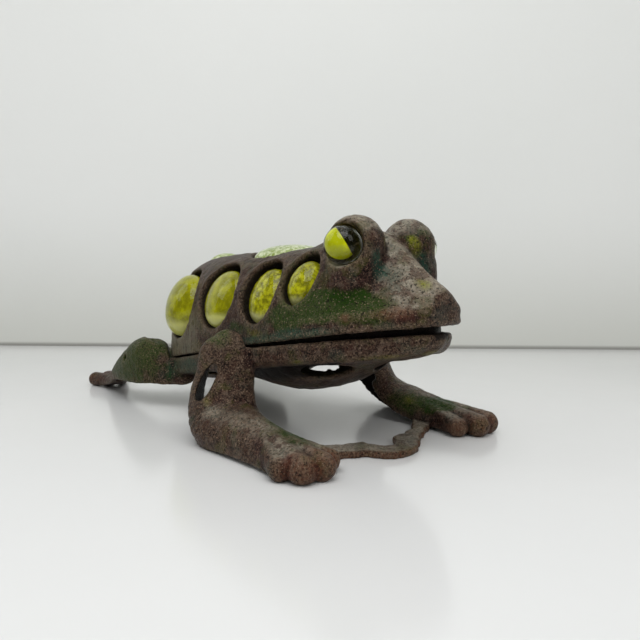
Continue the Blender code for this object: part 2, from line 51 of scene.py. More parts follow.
# Lid: station, half width at the parting line, height of the top, squareness of the section.
LID = (
    (-41.0, 2.0, 66.4, 2.0),
    (-37.0, 6.8, 69.4, 1.6),
    (-34.0, 10.4, 71.2, 1.4),
    (-28.0, 15.8, 75.2, 1.27),
    (-20.0, 22.0, 80.8, 1.24),
    (-10.0, 28.2, 89.0, 1.3),
    (0.0, 33.2, 95.4, 1.5),
    (14.0, 37.0, 96.0, 1.9),
    (30.0, 39.6, 89.8, 2.4),
    (50.0, 41.5, 87.9, 2.7),
    (72.0, 42.0, 87.6, 2.8),
    (94.0, 41.0, 87.2, 2.8),
    (114.0, 39.0, 86.4, 2.6),
    (129.0, 36.5, 85.0, 2.5),
    (138.0, 33.0, 80.6, 2.4),
    (147.0, 25.0, 67.0, 2.3),
    (152.0, 18.0, 52.0, 2.2),
)
LID_FRONT = -36.3
LID_REAR = 147.4
LEDGE_HEIGHT = 8.4  # step along the upper lip
LEDGE_PROUD = 0.8
LEDGE_EDGE = 0.5
LIP_HEIGHT = 6.0  # upright band round the upper lip
LIP_END = 34.0
LIP_FADE = 44.0
LIP_WEAR = 1.5  # extra rounding of the lip's edge at the snout
LIP_WEAR_START = -10.0
LIP_WEAR_FADE = 25.0
BEAD_HEIGHT = 1.2  # soft bead above the parting line
BEAD_PROUD = 0.5
BEAD_WIDTH = 1.4

# Lower casting: station, height of its lowest line.
KEEL = (
    (-40.0, 51.0),
    (-33.0, 47.0),
    (-28.0, 44.0),
    (-20.0, 41.4),
    (-4.0, 38.4),
    (3.0, 36.0),
    (10.0, 32.2),
    (19.0, 26.8),
    (26.0, 23.2),
    (38.0, 20.0),
    (48.0, 20.4),
    (60.0, 21.4),
    (84.0, 21.4),
    (104.0, 18.2),
    (124.0, 14.2),
    (136.0, 13.0),
    (150.0, 14.5),
)
JAW_FRONT = -34.6
JAW_SETBACK = 3.0  # how far the jaw's front lies behind the lid's
SETBACK_START = -4.0
SETBACK_FADE = 12.0
JAW_PROUD = 0.2
JAW_DEPTH = 9.5
JAW_TUCK = 5.0  # how far the belly sits inside the jaw
CHIN_TUCK = 11.0  # the same, added under the chin
TUCK_END = 26.0
TUCK_FADE = 36.0
BELLY_OVERLAP = 2.0
BELLY_TOP = 2.5
BELLY_INSET = 0.6
BOWL_INSET = 4.0  # inner faces of the bowl and of the jaw, in from the jaw's plan
JAW_WALL = 3.4
JAW_FLOOR = 2.4
BODY_REAR = 146.4

DOME_CENTRE = (16.3, -0.7, 88.7)
DOME_FOOT = (18.6, -1.4, 73.0)
DOME_RADIUS = 12.4
DOME_FOOT_RADIUS = 11.0
CUP_RADIUS = 10.4  # wall behind the marble
CUP_INSIDE = 2.0
CUP_GAP = 0.2
SEAT_OF_EYE = 8.7  # radius of the hollow that holds the marble
SOCKET_MOUTH = 9.5
SOCKET_AXIS = (0.86, -0.5, 0.05)
SOCKET_SHIFT = (-0.1, -0.2, 0.35)  # of the socket's mouth from the marble's middle
LIGHT_HOLE_IN = 18.0  # where the hole behind the eye ends, inwards and down
LIGHT_HOLE_DOWN = 16.0
LIGHT_HOLE_RADIUS = 4.0

# Front leg: centre, outward direction, half width, height outside, depth inside.
FRONT_LEG = (
    ((47.4, 52.6, 46.6), (0.68, -0.73, 0.0), 6.0, 2.4, 3.0),
    ((47.2, 52.2, 44.2), (0.68, -0.73, 0.0), 10.2, 4.6, 5.0),
    ((47.2, 52.0, 39.0), (0.68, -0.73, 0.0), 12.6, 6.4, 8.0),
    ((48.4, 51.0, 30.0), (0.7, -0.71, 0.0), 13.4, 6.8, 10.5),
    ((50.2, 50.5, 21.0), (0.72, -0.68, 0.15), 15.0, 8.0, 12.0),
    ((52.0, 47.0, 12.8), (0.55, -0.5, 0.66), 15.6, 9.0, 8.0),
    ((51.6, 36.0, 7.4), (0.25, -0.26, 0.93), 13.8, 10.6, 3.4),
    ((51.0, 22.0, 4.8), (0.05, -0.1, 0.99), 12.4, 11.0, 2.4),
    ((50.6, 8.0, 3.6), (0.0, -0.05, 1.0), 11.8, 9.0, 2.0),
    ((50.2, -2.0, 3.0), (0.0, -0.05, 1.0), 12.0, 7.6, 2.0),
    ((49.6, -9.0, 2.6), (0.0, -0.05, 1.0), 10.6, 5.4, 2.0),
)
FRONT_HOLLOWS = ((1, 9),)  # first row, and row after the last, of a hollow length
# Slot: centre, direction along it, direction through it, half length, half width.
FRONT_SLOT = ((54.0, 55.6, 27.4), (-0.34, -0.29, 0.9), (0.68, -0.73, 0.0), 9.0, 2.9)
SHORT_WALL = 1.6  # depth of a leg channel's wall on its inner side
# Toe: root, tip, radius at the root and at the tip.
FRONT_TOES = (
    ((54.6, 12.0, 10.0), (61.2, -9.0, 4.5), 2.8, 5.0),
    ((51.8, 14.0, 11.0), (56.8, -16.6, 4.9), 3.0, 5.6),
    ((48.8, 14.0, 11.0), (48.6, -17.8, 4.9), 3.0, 5.6),
    ((46.0, 12.0, 9.6), (40.4, -12.2, 4.3), 2.8, 4.8),
)
HIND_LEG = (
    ((29.0, 122.0, 18.0), (0.5, 0.0, 0.87), 7.0, 5.0, 2.0),
    ((35.5, 134.0, 18.0), (0.35, 0.1, 0.93), 10.5, 17.4, 3.0),
    ((39.5, 143.0, 17.8), (0.3, 0.1, 0.95), 12.2, 22.2, 3.4),
    ((41.5, 154.0, 17.0), (0.25, 0.1, 0.97), 12.6, 19.8, 3.0),
    ((42.6, 165.0, 16.0), (0.2, 0.15, 0.97), 12.0, 14.8, 2.6),
    ((43.2, 175.0, 13.8), (0.15, 0.2, 0.97), 10.4, 10.2, 2.4),
    ((43.4, 184.0, 10.6), (0.15, 0.2, 0.97), 8.2, 6.8, 2.4),
    ((43.2, 193.0, 7.4), (0.1, 0.2, 0.98), 6.4, 5.0, 2.4),
    ((42.6, 202.0, 5.0), (0.0, 0.15, 0.99), 6.2, 4.4, 2.2),
    ((41.4, 211.0, 3.2), (0.0, 0.05, 1.0), 7.0, 4.0, 1.6),
)
HIND_HOLLOWS = ((1, 7),)
HIND_SLOTS = (
    ((42.4, 141.5, 38.5), (0.0, 1.0, -0.05), (0.2, 0.0, 0.98), 6.8, 2.2),
    ((44.4, 161.0, 32.5), (0.0, 0.93, -0.37), (0.25, 0.36, 0.88), 6.8, 2.2),
)
HIND_TOES = (
    ((43.4, 200.0, 6.2), (47.4, 220.4, 4.2), 3.2, 4.6),
    ((41.0, 200.0, 6.6), (38.8, 220.8, 4.2), 3.4, 4.6),
    ((38.8, 200.0, 6.0), (30.8, 216.6, 3.8), 3.0, 4.2),
)
# Hip behind the lid: two ends of a round lobe and its radius.
HIP = ((40.0, 158.0, 21.5), (26.5, 158.0, 21.0), 10.0)

# Plate between the front feet: its outline from right to left along the front, then back.
TIE = (
    (-43.0, -1.0), (-33.0, -3.0), (-25.8, -4.8), (-16.5, -9.9), (-12.1, -16.2), (-5.9, -20.3),
    (3.0, -19.1), (12.6, -12.5), (18.9, -7.7), (34.4, 1.1), (43.0, 5.0), (43.0, 16.0), (39.8, 15.2),
    (25.5, 3.4), (15.7, 0.2), (6.8, -2.0), (-0.7, -10.7), (-5.5, -8.8), (-8.2, -4.4), (-9.7, 0.6),
    (-16.7, 2.6), (-24.3, 8.0), (-43.0, 10.0),
)
TIE_THICKNESS = 3.4
TIE_REAR = 20.0
TIE_ROUGHNESS = 0.8
TIE_GRAIN = (3.2, 5)  # noise size and seed
# Leg: rows, toes, slots, hollows, and the corners of the block of space that holds it.
LEGS = (
    (FRONT_LEG, FRONT_TOES, (FRONT_SLOT,), FRONT_HOLLOWS, (22, -32, -3), (76, 84, 62)),
    (HIND_LEG, HIND_TOES, HIND_SLOTS, HIND_HOLLOWS, (5, 108, -3), (66, 232, 50)),
)
LIMB_END = 4.0  # how far a limb bulges past its first and last rows
LIMB_WALL = 3.0
HOLLOW_ROOM = 8.0
HIP_SHELL = 5.0
SLOT_MIDDLE = 6.0  # a slot's middle and half depth, along the direction through it
SLOT_REACH = 8.0

# Air holes in the belly: centre, half length, half height.
VENTS = (
    ((19.0, 12.0, 33.8), 13.5, 3.5),
    ((24.0, 62.0, 23.6), 12.0, 3.6),
    ((25.0, 92.0, 24.0), 10.0, 3.6),
)
VENT_HALF_WIDTH = 12.0
SEAT_STATION = 58.0  # tealight seat: a disc with a low rim
SEAT_RADIUS = 17.5
SEAT_HEIGHT = 24.6
SEAT_HALF = 1.6
RIM_HALF_WIDTH = 0.9
RIM_HALF_HEIGHT = 1.4

FLANGE_INSET = 4.4
FLANGE_WIDTH = 2.2
FLANGE_RISE_REAR = 2.4
FLANGE_RISE_MORE = 1.4
FLANGE_END = 138.0

ROOM_FRONT = 1.0  # clearance of the lower casting round the lid: beside it, below it, behind it
ROOM_REAR = 2.2
ROOM_STEP = 120.0
ROOM_BELOW = 0.6
ROOM_BEHIND = 3.4

INNER_SHADE_DEPTH = 2.2  # painted shade starts this far inside the castings
LEG_MIDDLE = (48.4, 51.0)  # plan of the front leg, for the painted shade in its channel
LEG_ACROSS = (-0.71, -0.7)  # from the channel to the leg's outer face

KNUCKLE_RADIUS = 4.6
KNUCKLE_HALF = 5.0
TONGUE_OVERLAP = 3.0
TONGUE_RISE = 1.6
TONGUE_HALF = 2.7
LUG_NEAR = 5.5
LUG_FAR = 10.0
STEM_FRONT = 143.6
STEM_BEHIND = 3.6
STEM_FOOT = 16.0
PIN_HOLE = 1.9
PIN_RADIUS = 1.6
# Pin head: radius, distance in from the end.
PIN_HEAD = ((1.2, 0.05), (2.3, 0.35), (2.9, 0.8), (2.95, 1.2), (2.5, 1.4), (1.6, 1.45))

COLLAR_WIDTH = 2.4  # thickened rim round each glass
COLLAR_DEPTH = 8.6
HOLE_DEPTH = 22.0
RIM_GAP = 1.0  # between glass and rim
OPENING_LIFT = 1.1  # how much higher a side opening reaches than its glass
LEAN_REACH = 2.0

# Glass: name, length along the lid, size across it, half thickness.
SIDE_GLASS = (
    ("glass_side_1", 35.0, 35.0, 10.5),
    ("glass_side_2", 31.0, 30.0, 7.0),
    ("glass_side_3", 21.0, 27.0, 6.5),
    ("glass_side_4", 15.5, 21.6, 6.5),
)
TOP_GLASS = (
    ("glass_top_front", 40.0, 43.0, 7.6),
    ("glass_top_rear", 20.0, 22.0, 6.5),
)
# Glass colours: deep, bright, paler low tint, mottling scale, how far up the low tint starts (-1 to
# 1).
OLIVE = ((0.25, 0.24, 0.0), (0.47, 0.455, 0.001), (0.8, 0.78, 0.25), 150.0, -0.3)
SPECKLED = ((0.2, 0.19, 0.002), (0.6, 0.58, 0.01), (0.66, 0.64, 0.28), 420.0, -0.4)
FROSTED = ((0.3, 0.4, 0.06), (0.85, 0.88, 0.68), (0.6, 0.64, 0.45), 420.0, -1.2)
MARBLE = ((0.5, 0.52, 0.0), (0.78, 0.8, 0.0), (0.55, 0.55, 0.02), 150.0, -1.5)
# Colour of each glass and how far it is sunk into its opening.
LOOKS = {
    "glass_side_1": (OLIVE, 0.0),
    "glass_side_2": (OLIVE, 0.6),
    "glass_side_3": (SPECKLED, 2.6),
    "glass_side_4": (SPECKLED, 3.0),
    "glass_top_front": (FROSTED, 0.2),
    "glass_top_rear": (FROSTED, -0.8),
}
CORE_INSET = 1.5  # thickness of clear glass over a core
CORE_SINK = 0.3
MARBLE_CORE = 0.6  # of the marble's radius
MARBLE_CUT = 1.3
MARBLE_OFFSET = 0.5
RUN_AIM = 50.0  # height that the runs of adhesive are pulled towards
RUN_SCALE = 0.86
RUN_SINK = 1.6

# Radius of the fillet where two shapes meet.
FILLET = {
    "snout": 2.6, "lid rear": 4.0, "dome": 3.0, "wall": 0.8, "cup": 1.5, "cup edge": 1.0,
    "hole end": 1.0, "collar": 1.2, "collar face": 1.6, "opening": 2.8, "lid edge": 0.9,
    "eye seat": 0.5, "eye mouth": 1.3, "pin hole": 0.3, "plate": 0.6, "knuckle": 1.5,
    "plan corner": 5.0, "jaw top": 1.8, "jaw foot": 3.6, "shell edge": 1.0, "belly": 2.0,
    "jaw to belly": 2.2, "bowl": 1.5, "toes": 1.6, "paw": 1.5, "slot": 1.2, "hip": 2.0,
    "seat": 1.4, "leg": 2.4, "foot": 0.5,
}


# ---- Frame positions -------------------------------------------------------------------------


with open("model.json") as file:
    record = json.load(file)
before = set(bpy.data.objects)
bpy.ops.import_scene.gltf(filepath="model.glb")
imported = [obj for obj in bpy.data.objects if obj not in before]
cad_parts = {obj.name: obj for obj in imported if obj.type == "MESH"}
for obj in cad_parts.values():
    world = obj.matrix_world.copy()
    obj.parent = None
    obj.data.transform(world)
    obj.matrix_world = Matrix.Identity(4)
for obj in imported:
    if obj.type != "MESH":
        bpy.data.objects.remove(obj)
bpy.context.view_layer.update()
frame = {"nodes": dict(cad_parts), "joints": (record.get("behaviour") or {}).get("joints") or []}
ORIGIN_STATION = 94.25
SHIFT = np.array((0.0, -ORIGIN_STATION, 0.0), np.float32)


def middle_of(node):
    """Centre of a CAD node's box, in station coordinates."""
    low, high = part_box(node)
    x, y, z = (low + high) / 2.0
    return np.array((x / MM, y / MM + ORIGIN_STATION, z / MM))


def hinge_point():
    x, y, z = frame["joints"][0]["pos_m"]
    return np.array((x / MM, y / MM + ORIGIN_STATION, z / MM))


# ---- Numbers on a grid -----------------------------------------------------------------------


CURVE_STEP = 0.25
CURVE_REACH = 12.0
EVENING = 0.6  # pull of a net's vertex towards its neighbours
FLAT_SLOPE = 0.05


def smooth_column(table, column, spread=2.5):
    """A column of a station table as a fine curve: stations and values."""
    rows = np.array(table, float)
    stations = np.arange(rows[0, 0], rows[-1, 0] + CURVE_STEP, CURVE_STEP)
    values = np.interp(stations, rows[:, 0], rows[:, column])
    reach = np.arange(-CURVE_REACH, CURVE_REACH + CURVE_STEP, CURVE_STEP)
    weights = np.exp(-0.5 * (reach / spread) ** 2)
    padded = np.pad(values, len(reach) // 2, mode="reflect", reflect_type="odd")
    return stations, np.convolve(padded, weights / weights.sum(), "valid")


def curve_at(curve, station):
    return np.interp(station, *curve).astype(np.float32)


def blend_min(a, b, k):
    """The lesser of two fields with a fillet of about k where they meet."""
    h = np.clip(0.5 + 0.5 * (b - a) / k, 0.0, 1.0)
    return b + (a - b) * h - k * h * (1.0 - h)


def blend_max(a, b, k):
    return -blend_min(-a, -b, k)


def size_of(*parts):
    return np.sqrt(sum(part * part for part in parts))


def unit(v):
    v = np.asarray(v, float)
    return v / np.linalg.norm(v)


def noise(points, size, seed):
    """Smooth noise between -1 and 1 with lumps about one size across."""
    table = np.random.default_rng(seed).uniform(-1.0, 1.0, 4096).astype(np.float32)
    scaled = np.asarray(points, np.float64) / size
    cell = np.floor(scaled).astype(np.int64)
    share = (scaled - cell).astype(np.float32)
    share = share * share * (3.0 - 2.0 * share)
    total = np.zeros(len(scaled), np.float32)
    for offset in cube_corners():
        at = cell + offset
        key = (at[:, 0] * 73856093 ^ at[:, 1] * 19349663 ^ at[:, 2] * 83492791) & 4095
        weight = np.prod(np.where(offset, share, 1.0 - share), axis=1)
        total += table[key] * weight
    return total


class Grid:
    """A block of space whose x samples lie evenly either side of the plane of symmetry."""

    def __init__(self, low, high):
        across = (np.arange(int(math.ceil(high[0] / STEP))) + 0.5) * STEP
        rest = [np.arange(low[i], high[i], STEP) for i in (1, 2)]
        self.axes = [axis.astype(np.float32) for axis in (across, *rest)]

    def points(self, block=None):
        """Sparse x, station, z arrays of the half with positive x, or of a block of it."""
        axes = self.axes if block is None else [a[b] for a, b in zip(self.axes, block)]
        return np.meshgrid(*axes, indexing="ij", sparse=True)

    def block(self, low, high):
        """The slices of a field between two corners."""
        ends = [np.searchsorted(axis, pair) for axis, *pair in zip(self.axes, low, high)]
        return tuple(slice(int(a), int(b)) for a, b in ends)

    def whole(self, half):
        """Both sides of a field known on the positive side, and the corner it starts from."""
        both = np.concatenate([half[::-1], half])
        corner = np.array((-self.axes[0][-1], self.axes[1][0], self.axes[2][0]))
        return both, corner


def cube_corners():
    """The eight corners of a unit cube."""
    return [np.array((i & 1, i >> 1 & 1, i >> 2 & 1)) for i in range(8)]


def sampled(field, corner, points):
    """The field at any points, straight between its samples."""
    at = (points - corner) / STEP
    top = np.array(field.shape) - 2
    cell = np.clip(np.floor(at).astype(int), 0, top)
    share = np.clip(at - cell, 0.0, 1.0)
    total = np.zeros(len(points))
    for offset in cube_corners():
        weight = np.prod(np.where(offset, share, 1.0 - share), axis=1)
        total += field[tuple((cell + offset).T)] * weight
    return total


def surface_net(field, corner):
    """Vertices and quads of the field's zero surface, facing the positive side."""
    inside = field < 0
    count = np.zeros(np.array(field.shape) - 1, np.int8)
    for offset in cube_corners():
        count += inside[tuple(slice(o, o + n) for o, n in zip(offset, count.shape))]
    active = (count > 0) & (count < 8)
    number = np.full(active.shape, -1, np.int64)
    cells = np.argwhere(active)
    number[active] = np.arange(len(cells))
    total = np.zeros((len(cells), 3))
    hits = np.zeros(len(cells))
    for axis in range(3):
        for first in (0, 1):
            for second in (0, 1):
                start = np.zeros(3, int)
                start[(axis + 1) % 3], start[(axis + 2) % 3] = first, second
                end = start.copy()
                end[axis] = 1
                a = field[tuple((cells + start).T)]
                b = field[tuple((cells + end).T)]
                crossed = (a < 0) != (b < 0)
                share = a[crossed] / (a[crossed] - b[crossed])
                total[crossed] += start + np.outer(share, end - start)
                hits[crossed] += 1
    vertices = corner + (cells + total / hits[:, None]) * STEP
    return vertices, net_quads(inside, number)


def net_quads(inside, number):
    quads = []
    for axis in range(3):
        b, c = (axis + 1) % 3, (axis + 2) % 3
        lower = np.take(inside, range(inside.shape[axis] - 1), axis)
        upper = np.take(inside, range(1, inside.shape[axis]), axis)
        for outward, found in ((True, lower & ~upper), (False, ~lower & upper)):
            at = np.argwhere(found)
            at = at[(at[:, b] > 0) & (at[:, c] > 0)]
            at = at[(at[:, b] < inside.shape[b] - 1) & (at[:, c] < inside.shape[c] - 1)]
            ring = []
            for db, dc in ((-1, -1), (0, -1), (0, 0), (-1, 0)):
                cell = at.copy()
                cell[:, b] += db
                cell[:, c] += dc
                ring.append(number[tuple(cell.T)])
            ring = np.stack(ring, axis=1)
            quads.append(ring if outward else ring[:, ::-1])
    return np.concatenate(quads)


def relaxed(vertices, quads, field, corner, rounds=5):
    """Evens the net out, keeping it on the surface."""
    start, end = np.concatenate([quads[:, [i, (i + 1) % 4]] for i in range(4)]).T
    degree = np.bincount(start, minlength=len(vertices))[:, None]
    slopes = [slope.astype(np.float32) for slope in np.gradient(field, STEP)]
    for _ in range(rounds):
        mean = [np.bincount(start, column[end], len(column)) for column in vertices.T]
        mean = np.stack(mean, axis=1) / degree
        vertices = (1.0 - EVENING) * vertices + EVENING * mean
        off = sampled(field, corner, vertices)
        slope = np.stack([sampled(part, corner, vertices) for part in slopes], axis=1)
        norm = (slope * slope).sum(axis=1) + FLAT_SLOPE
        vertices = vertices - slope * np.clip(off / norm, -STEP, STEP)[:, None]
    return vertices, slope / np.sqrt(norm)[:, None]


def blurred(field, rounds=3):
    for _ in range(rounds):
        for axis in range(3):
            field = (np.roll(field, 1, axis) + field + np.roll(field, -1, axis)) / 3.0
    return field


# ---- Shapes shared by both castings ----------------------------------------------------------


LID_HALF = smooth_column(LID, 1)
LID_TOP = smooth_column(LID, 2)
LID_POWER = smooth_column(LID, 3, 5.0)
KEEL_LINE = smooth_column(KEEL, 1)


def seam(station):
    return curve_at(np.array(SEAM).T, station)


def jaw_top(station):
    share = np.clip((MOUTH_END - station) / (MOUTH_END - SNOUT), 0.0, 1.0)
    return seam(station) - MOUTH_GAP_REAR - share * (MOUTH_GAP_FRONT - MOUTH_GAP_REAR)


def ball(x, s, z, centre, radius):
    return size_of(x - centre[0], s - centre[1], z - centre[2]) - radius


def capsule(x, s, z, start, end, first, last):
    """A rod with round ends whose radius runs from first to last."""
    start, end = np.array(start, np.float32), np.array(end, np.float32)
    along = end - start
    rel = (x - start[0], s - start[1], z - start[2])
    share = np.clip(sum(r * a for r, a in zip(rel, along)) / float(along @ along), 0.0, 1.0)
    return size_of(*(r - share * a for r, a in zip(rel, along))) - (first + share * (last - first))


def barrel(x, s, z, centre, radius, low, high, k=0.8):
    """A cylinder along x between two x positions."""
    round_part = size_of(s - centre[1], z - centre[2]) - radius
    return blend_max(round_part, np.maximum(low - x, x - high), k)


def oval(u, v, a, b):
    """Distance to an ellipse of half axes a and b."""
    q = size_of(u / a, v / b) + TINY
    slope = size_of(u / (a * a), v / (b * b)) / q + TINY
    return (q - 1.0) / slope


def local(x, s, z, centre, turn):
    """Coordinates along the three columns of a turn about a centre."""
    rel = (x - centre[0], s - centre[1], z - centre[2])
    return [sum(float(turn[i][c]) * rel[i] for i in range(3)) for c in range(3)]


# ---- Lid -------------------------------------------------------------------------------------


def lip_share(station):
    """How much of the lip band there is: all of it round the snout, none behind the cheeks."""
    return np.clip((LIP_END - station) / LIP_FADE, 0.0, 1.0)


def even_distance(ratio):
    """A distance from a ratio that is 1 on the surface."""
    slopes = np.gradient(ratio, STEP)
    return (ratio - 1.0) / np.maximum(size_of(*slopes), LEAST_SLOPE)


def lid_skin(x, s, z):
    """Distance to the lid's outside, without domes and before the parting line is cut."""
    half = curve_at(LID_HALF, s)
    above = z - seam(s)
    rise = curve_at(LID_TOP, s) - seam(s)
    power = curve_at(LID_POWER, s)
    lip = LIP_HEIGHT * lip_share(s)
    u = np.abs(x) / half
    v = np.maximum(above - lip, 0.0) / (rise - lip)
    skin = even_distance((u**power + v**power + TINY) ** (1.0 / power))
    ledge = 1.0 / (1.0 + np.exp(np.clip((above - LEDGE_HEIGHT) / LEDGE_EDGE, -40.0, 40.0)))
    bead = BEAD_PROUD * np.exp(-(((above - BEAD_HEIGHT) / BEAD_WIDTH) ** 2))
    skin = skin - lip_share(s) * (LEDGE_PROUD * ledge + bead)
    skin = blend_max(skin, LID_FRONT - s, FILLET["snout"])
    return blend_max(skin, s - LID_REAR, FILLET["lid rear"])


def side_turn(node, centre):
    """Across, along and outward directions of a glass in the lid."""
    if "top" in node:
        return np.eye(3)
    station = centre[1]
    half = float(curve_at(LID_HALF, station))
    rise = float(curve_at(LID_TOP, station)) - float(seam(station))
    power = float(curve_at(LID_POWER, station))
    u = centre[0] / half
    v = (centre[2] - float(seam(station))) / rise
    out = np.array((u ** (power - 1.0) / half, 0.0, v ** (power - 1.0) / rise))
    lean = curve_at(LID_HALF, station + LEAN_REACH) - curve_at(LID_HALF, station - LEAN_REACH)
    out[1] = -float(lean) / (2.0 * LEAN_REACH) * out[0]
    out /= np.linalg.norm(out)
    along = unit(np.array((0.0, 1.0, 0.0)) - out * out[1])
    return np.stack([np.cross(along, out), along, out], axis=1)


def openings():
    """Every opening on the positive side or on the centre line: centre, turn, half axes."""
    made = []
    for name, length, tall, _ in SIDE_GLASS:
        centre = middle_of(name + "_left")
        turn = side_turn(name, centre)
        centre = centre + turn[:, 0] * np.sign(turn[2, 0]) * OPENING_LIFT
        made.append((centre, turn, tall / 2.0 + RIM_GAP + OPENING_LIFT, length / 2.0 + RIM_GAP))
    for name, length, wide, _ in TOP_GLASS:
        centre = middle_of(name)
        made.append((centre, side_turn(name, centre), wide / 2.0 + RIM_GAP, length / 2.0 + RIM_GAP))
    return made


def lid_field(grid):
    x, s, z = grid.points()
    skin = lid_skin(x, s, z)
    eye = middle_of("eye_marble_left")
    dome = capsule(x, s, z, DOME_CENTRE, DOME_FOOT, DOME_RADIUS, DOME_FOOT_RADIUS)
    outer = blend_min(skin, dome, FILLET["dome"])
    field = blend_max(outer, -(skin + WALL), FILLET["wall"])
    cup = blend_max(ball(x, s, z, eye, CUP_RADIUS), eye[0] - CUP_INSIDE - x, FILLET["cup edge"])
    field = blend_min(field, blend_max(cup, outer + 1.0, FILLET["cup edge"]), FILLET["cup"])
    cavity = blend_max(skin + WALL, -ball(x, s, z, eye, CUP_RADIUS + CUP_GAP), FILLET["cup edge"])
    field = blend_max(field, -cavity, FILLET["wall"])
    holes = []
    for centre, turn, a, b in openings():
        u, v, w = local(x, s, z, centre, turn)
        hole = blend_max(oval(u, v, a, b), -w - HOLE_DEPTH, FILLET["hole end"])
        collar = blend_max(hole - COLLAR_WIDTH, skin, FILLET["collar face"])
        collar = blend_max(collar, -(skin + COLLAR_DEPTH), FILLET["collar face"])
        field = blend_min(field, collar, FILLET["collar"])
        holes.append(hole)
    for hole in holes:
        field = blend_max(field, -hole, FILLET["opening"])
    field = carve_socket(field, x, s, z, eye)
    worn = np.clip((LIP_WEAR_START - s) / LIP_WEAR_FADE, 0.0, 1.0)
    field = blend_max(field, seam(s) - z, FILLET["lid edge"] + LIP_WEAR * worn)
    return add_knuckle(field, x, s, z)


def carve_socket(field, x, s, z, eye):
    """The eye's seat, its round mouth, and the hole behind it that candlelight comes through."""
    axis = unit(SOCKET_AXIS)
    rel = (x - eye[0], s - eye[1], z - eye[2])
    depth = sum(r * float(a) for r, a in zip(rel, axis))
    aside = [r - depth * float(a) - float(c) for r, a, c in zip(rel, axis, SOCKET_SHIFT)]
    mouth = blend_max(size_of(*aside) - SOCKET_MOUTH, 1.0 - depth, FILLET["cup edge"])
    field = blend_max(field, -ball(x, s, z, eye, SEAT_OF_EYE), FILLET["eye seat"])
    field = blend_max(field, -mouth, FILLET["eye mouth"])
    far = (eye[0] - LIGHT_HOLE_IN, eye[1], eye[2] - LIGHT_HOLE_DOWN)
    hole = capsule(x, s, z, eye, far, LIGHT_HOLE_RADIUS, LIGHT_HOLE_RADIUS)
    return blend_max(field, -hole, FILLET["hole end"])


def pin_hole(field, s, z, hinge):
    return blend_max(field, PIN_HOLE - size_of(s - hinge[1], z - hinge[2]), FILLET["pin hole"])


def add_knuckle(field, x, s, z):
    """The hinge knuckle and the tongue that joins it to the lid's rear wall."""
    hinge = hinge_point()
    tongue = np.maximum(x - KNUCKLE_HALF, np.maximum(LID_REAR - TONGUE_OVERLAP - s, s - hinge[1]))
    flat = np.abs(z - hinge[2] - TONGUE_RISE) - TONGUE_HALF
    tongue = blend_max(tongue, flat, FILLET["wall"])
    tongue = blend_max(tongue, seam(LID_REAR) + 0.2 - z, FILLET["plate"])
    knuckle = barrel(x, s, z, hinge, KNUCKLE_RADIUS, -KNUCKLE_HALF, KNUCKLE_HALF)
    field = blend_min(field, blend_min(tongue, knuckle, FILLET["knuckle"]), FILLET["knuckle"])
    return pin_hole(field, s, z, hinge)


# ---- Lower casting ---------------------------------------------------------------------------


def jaw_half(s, inset):
    """Half width of the jaw's plan."""
    front = curve_at(LID_HALF, s - JAW_SETBACK)
    back = curve_at(LID_HALF, s)
    share = np.clip((s - SETBACK_START) / SETBACK_FADE, 0.0, 1.0)
    return front + share * (back - front) - inset


def hull_field(x, s, z):
    """The jaw band over the round belly, as one shell, and the rim that stands inside the jaw."""
    top = jaw_top(s)
    keel = curve_at(KEEL_LINE, s)
    band = np.maximum(top - JAW_DEPTH, keel + 1.0)
    half = jaw_half(s, 0.0)
    lean = np.gradient(half, STEP, axis=1)
    plan = (x - half - JAW_PROUD) / np.sqrt(1.0 + lean * lean)
    for end in (JAW_FRONT - s, s - BODY_REAR):
        plan = blend_max(plan, end, FILLET["plan corner"])
    jaw = blend_max(blend_max(plan, z - top, FILLET["jaw top"]), band - z, FILLET["jaw foot"])
    forward = np.clip((TUCK_END - s) / TUCK_FADE, 0.0, 1.0)
    tuck = np.minimum(JAW_TUCK + forward * CHIN_TUCK, half * 0.6)
    v = (band + BELLY_OVERLAP - z) / np.maximum(band + BELLY_OVERLAP - keel, 2.0)
    bulge = even_distance(size_of(np.maximum(v, 0.0), x / (half - tuck)))
    belly = blend_max(bulge, z - band - BELLY_TOP, FILLET["shell edge"])
    belly = blend_max(belly, plan + BELLY_INSET, FILLET["belly"])
    solid = blend_min(jaw, belly, FILLET["jaw to belly"])
    bowl = blend_max(bulge + WALL, plan + BOWL_INSET, FILLET["belly"])
    jaw_room = blend_max(plan + JAW_WALL, band + JAW_FLOOR - z, FILLET["belly"])
    shell = blend_max(solid, -blend_min(bowl, jaw_room, FILLET["bowl"]), FILLET["shell edge"])
    return shell, flange_field(s, z, plan)


def flange_field(s, z, plan):
    """The upstanding rim inside the jaw that the lid drops round."""
    inner = -(plan + FLANGE_INSET + FLANGE_WIDTH)
    rim = blend_max(plan + FLANGE_INSET, inner, FILLET["plate"])
    share = np.clip((MOUTH_END - s) / (MOUTH_END - SNOUT), 0.0, 1.0)
    rise = FLANGE_RISE_REAR + share * FLANGE_RISE_MORE
    for limit in (z - jaw_top(s) - rise, jaw_top(s) - JAW_DEPTH * 0.5 - z, s - FLANGE_END):
        rim = blend_max(rim, limit, FILLET["wall"])
    return rim


